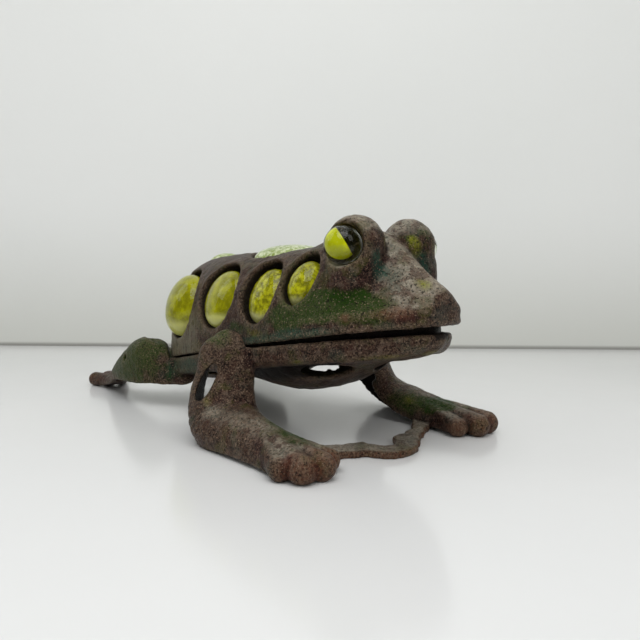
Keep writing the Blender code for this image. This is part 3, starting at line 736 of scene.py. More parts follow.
def refined(rows, parts=5):
    """Leg rows with smooth in-between rows: centre, across, outward, half, height, depth."""
    flat = np.array([(*c, *o, h, t, d) for c, o, h, t, d in rows])
    padded = np.vstack([2 * flat[0] - flat[1], flat, 2 * flat[-1] - flat[-2]])
    fine = []
    for i in range(1, len(padded) - 2):
        p0, p1, p2, p3 = padded[i - 1 : i + 3]
        square, cube = 2 * p0 - 5 * p1 + 4 * p2 - p3, 3 * p1 - p0 - 3 * p2 + p3
        for j in range(parts):
            t = j / parts
            fine.append(0.5 * (2 * p1 + (p2 - p0) * t + square * t**2 + cube * t**3))
    fine.append(flat[-1])
    made = []
    for i, row in enumerate(fine):
        along = unit(fine[min(i + 1, len(fine) - 1)][:3] - fine[max(i - 1, 0)][:3])
        outward = unit(row[3:6] - along * (row[3:6] @ along))
        made.append((row[:3], np.cross(along, outward), outward, row[6], row[7], row[8]))
    return made


def sweep(x, s, z, rows, inset, below):
    """Distance to a D-shaped limb; an inset limb with room below is the hollow under it."""
    best = None
    for a, b in zip(rows, rows[1:]):
        axis = b[0] - a[0]
        rel = [x - a[0][0], s - a[0][1], z - a[0][2]]
        share = np.clip(sum(r * float(c) for r, c in zip(rel, axis)) / float(axis @ axis), 0.0, 1.0)
        rel = [r - share * float(c) for r, c in zip(rel, axis)]
        frame_axes = ((a[1] + b[1]) / 2.0, (a[2] + b[2]) / 2.0, unit(axis))
        u, v, w = (sum(r * float(c) for r, c in zip(rel, d)) for d in frame_axes)
        half, height, depth = (a[i] + share * (b[i] - a[i]) for i in (3, 4, 5))
        half = half - inset
        height = height - inset
        longer = np.maximum(depth - SHORT_WALL, 0.0) * np.clip(0.5 + u / half, 0.0, 1.0)
        depth = depth + below - longer
        lift = np.maximum(v, 0.0)
        q = size_of(u / half, lift / height, w / LIMB_END) + TINY
        slope = size_of(u / (half * half), lift / (height * height), w / LIMB_END**2) / q + TINY
        d = np.maximum((q - 1.0) / slope, -v - depth)
        best = d if best is None else np.minimum(best, d)
    return best


def slot_field(x, s, z, centre, along, through, half_length, half_width):
    deep = unit(through)
    long = unit(np.array(along) - deep * (np.array(along) @ deep))
    turn = np.stack([np.cross(long, deep), long, deep], axis=1)
    u, v, w = local(x, s, z, centre, turn)
    ends = np.abs(w - SLOT_MIDDLE) - SLOT_REACH
    return blend_max(oval(u, v, half_width, half_length), ends, FILLET["hole end"])


def leg_field(x, s, z, rows, toes, slots, hollows):
    limb = sweep(x, s, z, refined(rows), 0.0, 0.0)
    for first, last in hollows:
        hollow = sweep(x, s, z, refined(rows[first:last]), LIMB_WALL, HOLLOW_ROOM)
        limb = blend_max(limb, -hollow, FILLET["shell edge"])
    paw = None
    for start, end, first, last in toes:
        toe = capsule(x, s, z, start, end, first, last)
        paw = toe if paw is None else blend_min(paw, toe, FILLET["toes"])
    limb = blend_min(limb, paw, FILLET["paw"])
    for row in slots:
        limb = blend_max(limb, -slot_field(x, s, z, *row), FILLET["slot"])
    return limb


def add_hip(limb, x, s, z):
    """The round lobe that carries the thigh's shell in behind the lid."""
    start, end, radius = HIP
    lobe = capsule(x, s, z, start, end, radius, radius)
    inner = radius - 0.6
    lower = capsule(x, s, z + HIP_SHELL, start, end, inner, inner)
    return blend_min(limb, blend_max(lobe, -lower, FILLET["shell edge"]), FILLET["hip"])


def tealight_seat(x, s, z):
    """A disc with a low rim."""
    away = size_of(x, s - SEAT_STATION) - SEAT_RADIUS
    disc = blend_max(away, np.abs(z - SEAT_HEIGHT + SEAT_HALF) - SEAT_HALF, FILLET["plate"])
    rim = np.abs(away + 0.8) - RIM_HALF_WIDTH
    rim = blend_max(rim, np.abs(z - SEAT_HEIGHT) - RIM_HALF_HEIGHT, FILLET["plate"])
    return blend_min(disc, rim, FILLET["plate"])


def lower_field(grid):
    x, s, z = grid.points()
    field, flange = hull_field(x, s, z)
    field = blend_min(field, tealight_seat(x, s, z), FILLET["seat"])
    for centre, along, tall in VENTS:
        halves = (VENT_HALF_WIDTH, along, tall)
        hole = size_of(*((a - c) / h for a, c, h in zip((x, s, z), centre, halves)))
        field = blend_max(field, -(hole - 1.0) * tall, FILLET["hole end"])
    for rows, toes, slots, hollows, low, high in LEGS:
        block = grid.block(low, high)
        limb = leg_field(*grid.points(block), rows, toes, slots, hollows)
        if rows is HIND_LEG:
            limb = add_hip(limb, *grid.points(block))
        field[block] = blend_min(field[block], limb, FILLET["leg"])
    field = blend_max(field, -lid_room(x, s, z), FILLET["lid edge"])
    field = blend_min(field, flange, FILLET["shell edge"])
    return add_lugs(field, x, s, z)


def lid_room(x, s, z):
    """The space that the lid swings through."""
    margin = np.where(s < ROOM_STEP, ROOM_FRONT, ROOM_REAR)
    room = np.maximum(x - curve_at(LID_HALF, s) - margin, seam(s) - ROOM_BELOW - z)
    return np.maximum(room, s - LID_REAR - ROOM_BEHIND)


def add_lugs(field, x, s, z):
    """The two lugs either side of the lid's knuckle, each on a stem."""
    hinge = hinge_point()
    lug = barrel(x, s, z, hinge, KNUCKLE_RADIUS, LUG_NEAR, LUG_FAR)
    sides = np.maximum(LUG_NEAR - x, x - LUG_FAR)
    stem = np.maximum(sides, np.maximum(STEM_FRONT - s, s - hinge[1] - STEM_BEHIND))
    stem = blend_max(stem, np.maximum(STEM_FOOT - z, z - hinge[2] + 3.0), FILLET["wall"])
    field = blend_min(field, blend_min(lug, stem, FILLET["shell edge"]), FILLET["seat"])
    return pin_hole(field, s, z, hinge)


def outline_distance(x, s, outline):
    """Signed distance to a closed outline in plan."""
    corners = np.array(outline)
    best = np.full(np.broadcast(x, s).shape, 1e6, np.float32)
    inside = np.zeros(best.shape, bool)
    for (ax, ay), (bx, by) in zip(corners, np.roll(corners, -1, axis=0)):
        ex, ey = bx - ax, by - ay
        share = np.clip(((x - ax) * ex + (s - ay) * ey) / (ex * ex + ey * ey), 0.0, 1.0)
        best = np.minimum(best, size_of(x - ax - share * ex, s - ay - share * ey))
        crosses = ((ay > s) != (by > s)) & (x < (bx - ax) * (s - ay) / (by - ay + 1e-9) + ax)
        inside ^= crosses
    return np.where(inside, -best, best)


def add_tie(field, corner):
    """The plate between the front feet, which isn't the same on both sides."""
    axes = [start + np.arange(count) * STEP for start, count in zip(corner, field.shape)]
    across, along, up = (axis.astype(np.float32) for axis in axes)
    cols = slice(0, int((TIE_REAR - corner[1]) / STEP))
    x, s = across[:, None], along[None, cols]
    flat = np.stack(np.broadcast_arrays(x, s, 0.0), axis=-1)
    rough = noise(flat.reshape(-1, 3), *TIE_GRAIN).reshape(flat.shape[:2])
    plan = outline_distance(x, s, TIE) + TIE_ROUGHNESS * rough
    plate = blend_max(plan[:, :, None], up - TIE_THICKNESS, FILLET["shell edge"])
    field[:, cols] = blend_min(field[:, cols], plate, FILLET["slot"])
    return field


# ---- Meshes ----------------------------------------------------------------------------------


def added(name, data):
    made = bpy.data.objects.new(name, data)
    bpy.context.scene.collection.objects.link(made)
    return made


def placed(points):
    return (np.asarray(points) + SHIFT) * MM


def smooth_object(name, mesh):
    mesh.polygons.foreach_set("use_smooth", [True] * len(mesh.polygons))
    return added(name, mesh)


def mesh_object(name, vertices, faces):
    mesh = bpy.data.meshes.new(name)
    mesh.from_pydata(placed(vertices).tolist(), [], faces)
    return smooth_object(name, mesh)


def fitted(obj, material, body, node=None):
    """Gives a piece its material and body, and hides the CAD node that it stands in for."""
    obj.data.materials.clear()
    obj.data.materials.append(material)
    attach(obj, body)
    if node:
        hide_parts(node)


def store(obj, name, columns):
    """A colour attribute from up to four columns of numbers."""
    data = np.ones((len(obj.data.vertices), 4), np.float32)
    for i, column in enumerate(columns):
        data[:, i] = column
    layer = obj.data.color_attributes.new(name, "FLOAT_COLOR", "POINT")
    layer.data.foreach_set("color", data.ravel())


def largest_part(vertices, quads):
    """Which vertices are joined to the main body, and its quads: loose specks are dropped."""
    label = np.arange(len(vertices))
    while True:
        low = label[quads].min(axis=1)
        new = label.copy()
        np.minimum.at(new, quads.ravel(), np.repeat(low, 4))
        new = new[new]
        if (new == label).all():
            break
        label = new
    values, counts = np.unique(label, return_counts=True)
    keep = label == values[counts.argmax()]
    number = np.cumsum(keep) - 1
    return keep, number[quads[keep[quads[:, 0]]]]


# Lumps of a casting's skin: height, size and seed of the noise.
LUMPS = ((0.26, 7.0, 1), (0.2, 2.8, 2), (0.12, 1.4, 3))
FIELD_LIMIT = 4.0


def cast_mesh(name, field, corner):
    """Meshes a field and gives it the uneven skin of a casting."""
    clipped = np.clip(field, -FIELD_LIMIT, FIELD_LIMIT)
    vertices, quads = surface_net(clipped, corner)
    vertices, normals = relaxed(vertices, quads, clipped, corner)
    bend = sampled(blurred(clipped), corner, vertices) - sampled(clipped, corner, vertices)
    keep, quads = largest_part(vertices, quads)
    vertices, normals, bend = vertices[keep], normals[keep], bend[keep]
    lumps = sum(height * noise(vertices, size, seed) for height, size, seed in LUMPS)
    vertices = vertices + normals * lumps[:, None]
    vertices[:, 2] = np.maximum(vertices[:, 2], 0.0)
    return mesh_object(name, vertices, quads.tolist()), vertices, normals, bend


# ---- Zones of paint --------------------------------------------------------------------------


# Zone: share of wandering, where the zone starts and is full, and its soft spots as amount,
# centre and reach.
LID_ZONES = {
    "moss": (0.55, 0.22, 0.7, (
        (1.5, (28, -11, 64), (14, 14, 6)), (1.1, (33, 8, 61), (12, 12, 6)),
        (0.6, (40, 26, 56), (10, 14, 6)), (0.7, (40, 52, 51), (10, 12, 5)),
        (0.5, (30, 12, 66), (12, 9, 5)), (0.5, (12, -14, 97), (9, 8, 8)),
    )),
    "teal": (0.45, 0.3, 0.8, (
        (0.9, (14, -17, 80), (6, 8, 9)), (0.6, (22, -21, 70), (7, 7, 5)),
    )),
    "rust": (0.5, 0.3, 0.85, (
        (1.0, (18, -26, 61.5), (10, 10, 3.2)), (0.7, (29, -10, 59), (8, 8, 3)),
    )),
    "pale": (0.4, 0.15, 0.8, ((0.4, (24, 2, 100), (14, 14, 8)),)),
    "lime": (0.6, 0.4, 0.95, (
        (1.0, (6, -30, 73), (5, 8, 5)), (0.8, (20, -30, 60), (4, 5, 2.4)),
        (0.7, (41, 40, 50), (8, 16, 4)), (0.7, (9, -12, 90), (4, 6, 6)),
    )),
}
BODY_ZONES = {
    "moss": (0.5, 0.25, 0.75, (
        (1.4, (42, 158, 28), (26, 32, 18)), (0.7, (50, 56, 48), (12, 12, 7)),
        (0.7, (40, 22, 12), (8, 16, 8)), (0.6, (48, 2, 12), (10, 12, 5)),
    )),
    "teal": (0.3, 0.25, 0.8, (
        (0.8, (36, 104, 26), (14, 34, 12)), (0.5, (50, 60, 50), (12, 10, 5)),
    )),
    "rust": (0.4, 0.25, 0.85, ((0.35, (30, -14, 46), (10, 14, 4)),)),
    "pale": (0.4, 0.35, 1.3, (
        (0.5, (56, 46, 16), (12, 12, 8)), (0.8, (38, 112, 26), (14, 22, 12)),
    )),
    "lime": (0.6, 0.4, 0.95, (
        (1.0, (39, 20, 14), (4.5, 12, 4)), (0.5, (58, 48, 26), (6, 6, 14)),
    )),
}
# Layers of a mesh that hold the zones.
ZONE_LAYERS = {
    "zone_a": ("moss", "teal", "rust", "pale"),
    "zone_b": ("edge", "crease_shade", "streak", "lime"),
    # zone_c: the faces inside the castings, which get painted shade.
    "zone_c": ("inner_shade", "inner_shade", "inner_shade"),
}


def blob(p, centre, reach):
    """A soft spot on both sides that is 1 at its centre."""
    at = (np.abs(p[:, 0]), p[:, 1], p[:, 2])
    return np.exp(-sum(((a - c) / r) ** 2 for a, c, r in zip(at, centre, reach)))


def ramp(values, low, high):
    t = np.clip((values - low) / (high - low), 0.0, 1.0)
    return t * t * (3.0 - 2.0 * t)


def bell(values, centre, width):
    return np.exp(-(((values - centre) / width) ** 2))


def shade_inside_lid(p):
    """1 on the faces inside the lid, which get painted shade."""
    half, top, power = (np.interp(p[:, 1], *curve) for curve in (LID_HALF, LID_TOP, LID_POWER))
    foot = seam(p[:, 1]) + LIP_HEIGHT * lip_share(p[:, 1])
    u = np.abs(p[:, 0]) / np.maximum(half - INNER_SHADE_DEPTH, 1.0)
    v = np.maximum(p[:, 2] - foot, 0.0) / np.maximum(top - INNER_SHADE_DEPTH - foot, 1.0)
    inside = ramp(-((u**power + v**power) ** (1.0 / power)), -1.06, -0.98)
    inside *= ramp(p[:, 1], SNOUT + 2.0, SNOUT + 5.0)
    return inside * ramp(LID_REAR - p[:, 1], 1.7, 2.9)


def shade_inside_body(p, n):
    """1 on the faces inside the bowl and inside the channels of the front legs, which get painted
    shade.
    """
    x = np.abs(p[:, 0])
    half = jaw_half(p[:, 1], INNER_SHADE_DEPTH)
    keel = np.interp(p[:, 1], *KEEL_LINE)
    brim = jaw_top(p[:, 1]) - JAW_DEPTH + BELLY_OVERLAP
    v = np.maximum(brim - p[:, 2], 0.0) / np.maximum(brim - keel - INNER_SHADE_DEPTH, 1.0)
    bowl = ramp(half - x, 0.0, 1.0) * ramp(p[:, 2] - keel, 2.4, 3.4)
    bowl *= ramp(BODY_REAR - p[:, 1], 1.7, 2.9)
    bowl *= ramp(-np.hypot(v, x / np.maximum(half, 1.0)), -1.04, -0.97)
    side = n[:, 0] * np.sign(p[:, 0])
    across = (x - LEG_MIDDLE[0]) * LEG_ACROSS[0] + (p[:, 1] - LEG_MIDDLE[1]) * LEG_ACROSS[1]
    facing = side * LEG_ACROSS[0] + n[:, 1] * LEG_ACROSS[1]
    behind = side * LEG_ACROSS[1] - n[:, 1] * LEG_ACROSS[0]
    channel = ramp(facing, 0.1, 0.4) * ramp(-across, -6.0, -3.0)
    channel = np.maximum(channel, ramp(behind, 0.2, 0.5) * ramp(-np.abs(across), -11.5, -9.5))
    channel *= ramp(x, 33.0, 36.0) * ramp(p[:, 1], 26.0, 34.0) * ramp(-p[:, 1], -80.0, -76.0)
    return np.maximum(bowl, channel)


def paint(obj, p, bend, zones, extra, seeds):
    """Stores the zones of a casting's paint; extra has what spots can't describe."""
    wander = noise(p, 9.0, seeds[0]) * 0.5 + noise(p, 4.0, seeds[1]) * 0.35
    # Convex edges get rubbed paint and a painted highlight; creases get painted shade.
    masks = {"edge": ramp(bend, 0.02, 0.34), "crease_shade": ramp(-bend, 0.02, 0.3)}
    masks["streak"], masks["inner_shade"] = extra["streak"], extra["inner_shade"]
    for name, (share, low, high, spots) in zones.items():
        total = extra.get(name, 0.0) + share * wander
        for amount, centre, reach in spots:
            total += amount * blob(p, centre, reach)
        masks[name] = ramp(total, low, high) * (1.0 - masks["inner_shade"])
    for layer, names in ZONE_LAYERS.items():
        store(obj, layer, [masks[name] for name in names])


def paint_lid(obj, p, n, bend):
    above = p[:, 2] - seam(p[:, 1])
    side = ramp(np.abs(n[:, 0]), 0.2, 0.7)
    lip = bell(above, 1.5, 3.4) * side
    extra = {
        "teal": lip * ramp(p[:, 1], -18.0, 6.0) * ramp(-p[:, 1], -86.0, -60.0),
        # pale: pale paint, and painted light from above on the snout's upward faces.
        "pale": ramp(n[:, 2], 0.15, 0.9) * ramp(-p[:, 1], -18.0, 6.0),
        "streak": ramp(p[:, 1], 80.0, 104.0) * ramp(-above, -30.0, -12.0) * side,
        "inner_shade": shade_inside_lid(p),
    }
    paint(obj, p, bend, LID_ZONES, extra, (11, 12))


def paint_body(obj, p, n, bend):
    x = np.abs(p[:, 0])
    toes = ramp(-p[:, 1], 6.0, 14.0) * ramp(x, 30.0, 38.0) * ramp(-p[:, 2], -20.0, -8.0)
    tie = ramp(-x, -40.0, -34.0) * ramp(-p[:, 2], -8.0, -5.0) * ramp(-p[:, 1], -12.0, -8.0)
    tie *= ramp(-n[:, 2], -0.8, -0.2)
    lower = ramp(-p[:, 2], -22.0, -12.0) * ramp(-p[:, 1], -60.0, -40.0)
    band = bell(p[:, 2] - jaw_top(p[:, 1]), -8.0, 1.6)
    extra = {
        "rust": 0.75 * toes + 0.5 * ramp(p[:, 1], 196.0, 208.0) + tie,
        # pale: pale paint, and painted light from above on upward faces low down at the front.
        "pale": ramp(n[:, 2], 0.35, 0.95) * lower,
        "lime": 0.5 * band * ramp(-p[:, 1], -40.0, -10.0),
        "streak": 0.0,
        "inner_shade": shade_inside_body(p, n),
    }
    paint(obj, p, bend, BODY_ZONES, extra, (21, 22))


# ---- Materials -------------------------------------------------------------------------------


class Tree:
    """Short calls for the nodes of a material or a world."""

    def __init__(self, owner):
        self.nodes = owner.node_tree.nodes
        self.links = owner.node_tree.links

    def put(self, socket, value):
        if isinstance(value, bpy.types.NodeSocket):
            self.links.new(value, socket)
        else:
            socket.default_value = value

    def fill(self, node, **inputs):
        for key, value in inputs.items():
            self.put(node.inputs[key.replace("_", " ")], value)
        return node

    def add(self, kind, **inputs):
        return self.fill(self.nodes.new(kind), **inputs)

    def where(self):
        return self.add("ShaderNodeTexCoord").outputs["Object"]

    def noise(self, vector, scale, detail=2.0, rough=0.5):
        made = self.add("ShaderNodeTexNoise", Vector=vector, Scale=scale, Detail=detail)
        return self.fill(made, Roughness=rough).outputs["Fac"]

    def ramp(self, value, low, high):
        node = self.add("ShaderNodeMapRange", Value=value, From_Min=low, From_Max=high)
        node.interpolation_type = "SMOOTHSTEP"
        return node.outputs["Result"]

    def spots(self, vector, scale, detail, rough, low, high):
        """Noise that goes from 0 to 1 between two of its levels."""
        return self.ramp(self.noise(vector, scale, detail, rough), low, high)

    def math(self, kind, a, b):
        node = self.nodes.new("ShaderNodeMath")
        node.operation = kind
        self.put(node.inputs[0], a)
        self.put(node.inputs[1], b)
        return node.outputs[0]

    def times(self, a, b):
        return self.math("MULTIPLY", a, b)

    def line(self, value, base, slope):
        return self.math("ADD", self.times(value, slope), base)

    def vector(self, kind, a, b):
        node = self.nodes.new("ShaderNodeVectorMath")
        node.operation = kind
        self.put(node.inputs[0], a)
        self.put(node.inputs[1], b)
        return node.outputs[0]

    def mix(self, share, a, b):
        node = self.nodes.new("ShaderNodeMix")
        node.data_type = "RGBA"
        self.put(node.inputs[0], share)
        for socket, value in ((node.inputs[6], a), (node.inputs[7], b)):
            self.put(socket, value if isinstance(value, bpy.types.NodeSocket) else (*value, 1.0))
        return node.outputs[2]

    def bump(self, height, strength, distance, normal=None):
        node = self.add("ShaderNodeBump", Strength=strength, Distance=distance, Height=height)
        if normal is not None:
            self.fill(node, Normal=normal)
        return node.outputs["Normal"]

    def clear_where(self, share, shader, pane):
        """Swaps the shader for a clear pane where share is 1."""
        both = self.add("ShaderNodeMixShader")
        sources = (share, shader.outputs["BSDF"], pane.outputs["BSDF"])
        for socket, value in zip(both.inputs, sources):
            self.put(socket, value)
        self.fill(self.nodes["Material Output"], Surface=both.outputs[0])


def new_material(name):
    made = bpy.data.materials.new(name)
    made.use_nodes = True
    return made, Tree(made), made.node_tree.nodes["Principled BSDF"]


def zone_sockets(tree):
    """The zones that a casting's mesh holds, by name."""
    sockets = {}
    for layer, names in ZONE_LAYERS.items():
        source = tree.add("ShaderNodeVertexColor")
        source.layer_name = layer
        parts = tree.add("ShaderNodeSeparateColor", Color=source.outputs["Color"])
        sockets.update(zip(names, (*parts.outputs, source.outputs["Alpha"])))
    return sockets


# Stains over the whole paint: noise scale, strength, colour.
PATCHES = (
    (95.0, 0.5, (0.045, 0.05, 0.006)),
    (120.0, 0.35, (0.03, 0.05, 0.04)),
    (150.0, 0.65, (0.034, 0.009, 0.0065)),
    (260.0, 0.4, (0.15, 0.105, 0.08)),
)
# Paint laid over a zone: colour, strength. The pale zone also holds painted light: faces that point
# up are made paler.
TINTS = {
    "pale": ((0.33, 0.3, 0.235), 0.85),
    "streak": ((0.15, 0.145, 0.1), 0.7),
    "moss": ((0.013, 0.038, 0.0008), 1.5),
    "teal": ((0.014, 0.05, 0.034), 0.95),
    "rust": ((0.1, 0.036, 0.02), 0.75),
    "lime": ((0.2, 0.21, 0.012), 0.8),
}
STAIN = (0.02, 0.009, 0.0085)
# Dark for creases and pits: in the creases it is painted shade, in the pits the dark of the grain.
HOLLOW = (0.006, 0.004, 0.003)  # creases and pits
# Colour of convex edges: rubbed paint, and also a painted highlight.
EDGE = (0.19, 0.14, 0.09)
# Light dots over the grain: painted glints.
PAINTED_GLINT = (0.3, 0.21, 0.145)
RIB = (0.2, 0.18, 0.13)
# Near black for the faces inside the castings: painted shade.
INNER_SHADE = (0.004, 0.003, 0.0028)
# Ground colours of a casting, dark to light, and the scale of its painted glints and pits.
LID_PAINT = ((0.005, 0.0019, 0.0017), (0.0195, 0.0082, 0.0066), (0.068, 0.034, 0.0255), 1200.0)
BODY_PAINT = ((0.0054, 0.0021, 0.0018), (0.022, 0.009, 0.007), (0.077, 0.039, 0.029), 1250.0)


def painted_iron(name, dark, mid, light, dot_scale):
    """Old mottled paint over cast iron, with painted shade in creases and inside the castings,
    painted light on upward faces, painted glints and painted edge highlights; the zones come from
    the mesh.
    """
    made, tree, shader = new_material(name)
    where = tree.where()
    zone = zone_sockets(tree)
    fine = tree.noise(where, 1300.0, 3.0, 0.65)
    fleck = tree.line(tree.spots(where, 700.0, 3.0, 0.7, 0.4, 0.62), 0.55, 0.6)
    colour = tree.mix(tree.spots(where, 130.0, 3.0, 0.5, 0.36, 0.64), dark, mid)

    def over(mask, amount, tint):
        return tree.mix(tree.times(mask, amount), colour, tint)

    def laid(name):
        tint, strength = TINTS[name]
        broken = tree.times(tree.times(zone[name], fleck), strength)
        return tree.mix(tree.math("MINIMUM", broken, 1.0), colour, tint)

    colour = over(tree.ramp(fine, 0.44, 0.62), 0.95, light)
    colour = over(tree.spots(where, 75.0, 3.0, 0.6, 0.5, 0.68), 0.6, STAIN)
    for name in ("pale", "streak"):
        colour = laid(name)
    for number, (scale, amount, tint) in enumerate(PATCHES):
        moved = tree.vector("ADD", where, (0.3 * number + 0.1, 0.2 * number, -0.1 * number))
        colour = over(tree.spots(moved, scale, 4.0, 0.62, 0.52, 0.62), amount, tint)
    for name in ("moss", "teal", "rust", "lime"):
        colour = laid(name)
    pits = tree.spots(where, dot_scale * 0.8, 2.0, 0.6, 0.56, 0.66)
    stripes = tree.noise(tree.vector("MULTIPLY", where, (1.0, 1.0, 0.06)), 900.0, 1.0)
    ribs = tree.times(zone["streak"], tree.ramp(stripes, 0.35, 0.65))
    # Convex edges lightened: rubbed paint and a painted highlight.
    colour = over(tree.times(zone["edge"], tree.ramp(fine, 0.3, 0.7)), 0.55, EDGE)
    # Painted shade: the creases of the casting are darkened.
    colour = over(zone["crease_shade"], 0.85, HOLLOW)
    # Painted glints: light dots stand in for highlights on the grainy skin.
    colour = over(tree.spots(where, dot_scale, 2.0, 0.7, 0.6, 0.66), 0.55, PAINTED_GLINT)
    colour = over(pits, 0.8, HOLLOW)
    colour = over(ribs, 0.55, RIB)
    # Painted shade: the faces inside the castings and the leg channels are painted near black.
    colour = over(zone["inner_shade"], 0.9, INNER_SHADE)
    normal = tree.bump(tree.noise(where, 1200.0, 3.0, 0.7), 1.0, 0.0006)
    normal = tree.bump(tree.noise(where, 420.0, 3.0, 0.6), 0.6, 0.0007, normal)
    normal = tree.bump(tree.times(pits, -1.0), 0.6, 0.0004, normal)
    normal = tree.bump(ribs, 0.4, 0.0005, normal)
    tree.fill(shader, Base_Color=colour, Normal=normal, Roughness=tree.line(fine, 0.2, 0.3))
    tree.fill(shader, Specular_IOR_Level=0.09)
    return made


def clear_glass(name, tint, roughness=0.02):
    """Glass that lets lamp light through to what it covers."""
    made, tree, shader = new_material(name)
    where = tree.where()
    smear = tree.line(tree.noise(where, 90.0, 3.0), roughness, 0.015)
    dents = tree.bump(tree.noise(where, 160.0, 1.0), 0.12, 0.0008)
    tree.fill(shader, Base_Color=(*tint, 1.0), Roughness=smear, IOR=1.4, Normal=dents)
    tree.fill(shader, Transmission_Weight=1.0)
    shadow = tree.add("ShaderNodeLightPath").outputs["Is Shadow Ray"]
    pane = tree.add("ShaderNodeBsdfTransparent", Color=(0.9, 0.92, 0.85, 1.0))
    tree.clear_where(shadow, shader, pane)
    return made


def core_colour(name, centre, height, deep, bright, low_tint, mottle, low_tint_from):
    """Coloured heart of a glass piece, paler towards its lower edge, with a weak painted glow."""
    made, tree, shader = new_material(name)
    where = tree.where()
    up = tree.add("ShaderNodeSeparateXYZ", Vector=where).outputs["Z"]
    up = tree.math("SUBTRACT", up, float(centre[2]) * MM)
    level = tree.math("DIVIDE", up, height * MM / 2.0)
    wavy = tree.math("ADD", level, tree.times(tree.noise(where, 110.0, 3.0), 0.3))
    low = tree.ramp(wavy, low_tint_from + 0.12, low_tint_from - 0.12)
    colour = tree.mix(tree.spots(where, mottle, 4.0, 0.7, 0.38, 0.66), deep, bright)
    colour = tree.mix(tree.times(low, 0.8), colour, low_tint)
    bubbles = tree.spots(where, 1500.0, 2.0, 0.7, 0.64, 0.72)
    colour = tree.mix(tree.times(bubbles, 0.3), colour, (0.75, 0.75, 0.3))
    dents = tree.bump(tree.noise(where, 700.0, 3.0), 0.4, 0.0005)
    tree.fill(shader, Base_Color=colour, Roughness=0.5, Specular_IOR_Level=0.1, Normal=dents)
    # Painted glow: a weak emission stands in for light coming through the glass.
    tree.fill(shader, Emission_Color=colour, Emission_Strength=0.06)
    return made


def steel():
    made, tree, shader = new_material("pin_worn_steel")
    where = tree.where()
    rust = tree.spots(where, 500.0, 4.0, 0.6, 0.4, 0.65)
    tree.fill(
        shader,
        Base_Color=tree.mix(rust, (0.3, 0.28, 0.25), (0.13, 0.06, 0.03)),
        Metallic=tree.line(rust, 0.95, -0.6),
        Roughness=tree.line(rust, 0.3, 0.4),
        Normal=tree.bump(tree.noise(where, 1800.0, 3.0), 0.3, 0.0002),
    )
    return made


def glue():
    made, tree, shader = new_material("clear_adhesive")
    where = tree.where()
    cloudy = tree.spots(where, 350.0, 3.0, 0.5, 0.35, 0.7)
    tree.fill(
        shader,
        Base_Color=tree.mix(cloudy, (0.62, 0.6, 0.5), (0.34, 0.32, 0.22)),
        Roughness=tree.line(cloudy, 0.12, 0.3),
        Coat_Weight=0.6,
        Normal=tree.bump(tree.noise(where, 600.0, 2.0), 0.4, 0.0004),
    )
    return made


# ---- Small pieces ----------------------------------------------------------------------------


def ellipsoid(name, centre, turn, halves, rings=40):
    """A slightly uneven round body."""
    form = bmesh.new()
    bmesh.ops.create_uvsphere(form, u_segments=rings * 3 // 2, v_segments=rings, radius=1.0)
    mesh = bpy.data.meshes.new(name)
    form.to_mesh(mesh)
    form.free()
    points = np.array([v.co for v in mesh.vertices]) * np.array(halves)
    lumps = 0.12 * noise(points + np.asarray(centre), 9.0, 31)
    points *= (1.0 + lumps / max(halves))[:, None]
    points = points @ np.asarray(turn).T + np.asarray(centre)
    mesh.vertices.foreach_set("co", placed(points).astype(np.float32).ravel())
    return smooth_object(name, mesh)


def flipped(turn):
    """The same turn on the other side of the plane of symmetry."""
    other = np.array(turn)
    other[0] *= -1.0
    other[:, 0] *= -1.0
    return other


def add_glass(node, turn, halves, sink, shell, looks):
    """A clear nugget round a coloured core."""
    outward = turn[:, 2]
    centre = middle_of(node) - outward * sink
    inner = centre - outward * CORE_SINK
    side = "side" in node
    height = 2.0 * (halves[0] if side else halves[2])
    outer = ellipsoid(node + "_clear", centre, turn, halves)
    core = ellipsoid(node + "_core", inner, turn, [half - CORE_INSET for half in halves])
    fitted(outer, shell, "lid", node)
    fitted(core, core_colour(node + "_heart", inner, height, *looks), "lid")


def all_glass():
    shell = clear_glass("clear_glass", (0.95, 0.97, 0.9))
    for name, length, across, half in SIDE_GLASS + TOP_GLASS:
        looks, sink = LOOKS[name]
        halves = (across / 2.0, length / 2.0, half)
        if "top" in name:
            add_glass(name, np.eye(3), halves, sink, shell, looks)
            continue
        turn = side_turn(name, middle_of(name + "_left"))
        add_glass(name + "_left", turn, halves, sink, shell, looks)
        add_glass(name + "_right", flipped(turn), halves, sink, shell, looks)


def cut_flat(obj, place, outward):
    """Cuts a body off square at a plane."""
    form = bmesh.new()
    form.from_mesh(obj.data)
    everything = form.verts[:] + form.edges[:] + form.faces[:]
    cut = bmesh.ops.bisect_plane(
        form, geom=everything, plane_co=place, plane_no=outward, clear_outer=True
    )
    edges = [e for e in cut["geom_cut"] if isinstance(e, bmesh.types.BMEdge)]
    bmesh.ops.holes_fill(form, edges=edges)
    form.to_mesh(obj.data)
    form.free()


def eye_marbles():
    """Clear marbles, each with a coloured core that is cut off flat towards the inside."""
    shell = clear_glass("marble_glass", (0.93, 0.97, 0.88), 0.01)
    for side, node in ((LEFT, "eye_marble_left"), (RIGHT, "eye_marble_right")):
        centre = middle_of(node)
        low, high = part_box(node)
        radius = (high - low).z / MM / 2.0
        outer = ellipsoid(node + "_clear", centre, np.eye(3), (radius,) * 3, 48)
        middle = centre + np.array((side, 1.0, 1.0)) * MARBLE_OFFSET
        core = ellipsoid(node + "_core", middle, np.eye(3), (radius * MARBLE_CORE,) * 3, 48)
        outward = Vector((-side * 0.62, -0.5, 0.5)).normalized()
        cut_flat(core, (Vector(middle + SHIFT) + outward * MARBLE_CUT) * MM, outward)
        heart = core_colour(node + "_heart", centre, radius * 2.0, *MARBLE)
        fitted(outer, shell, "lid", node)
        fitted(core, heart, "lid")


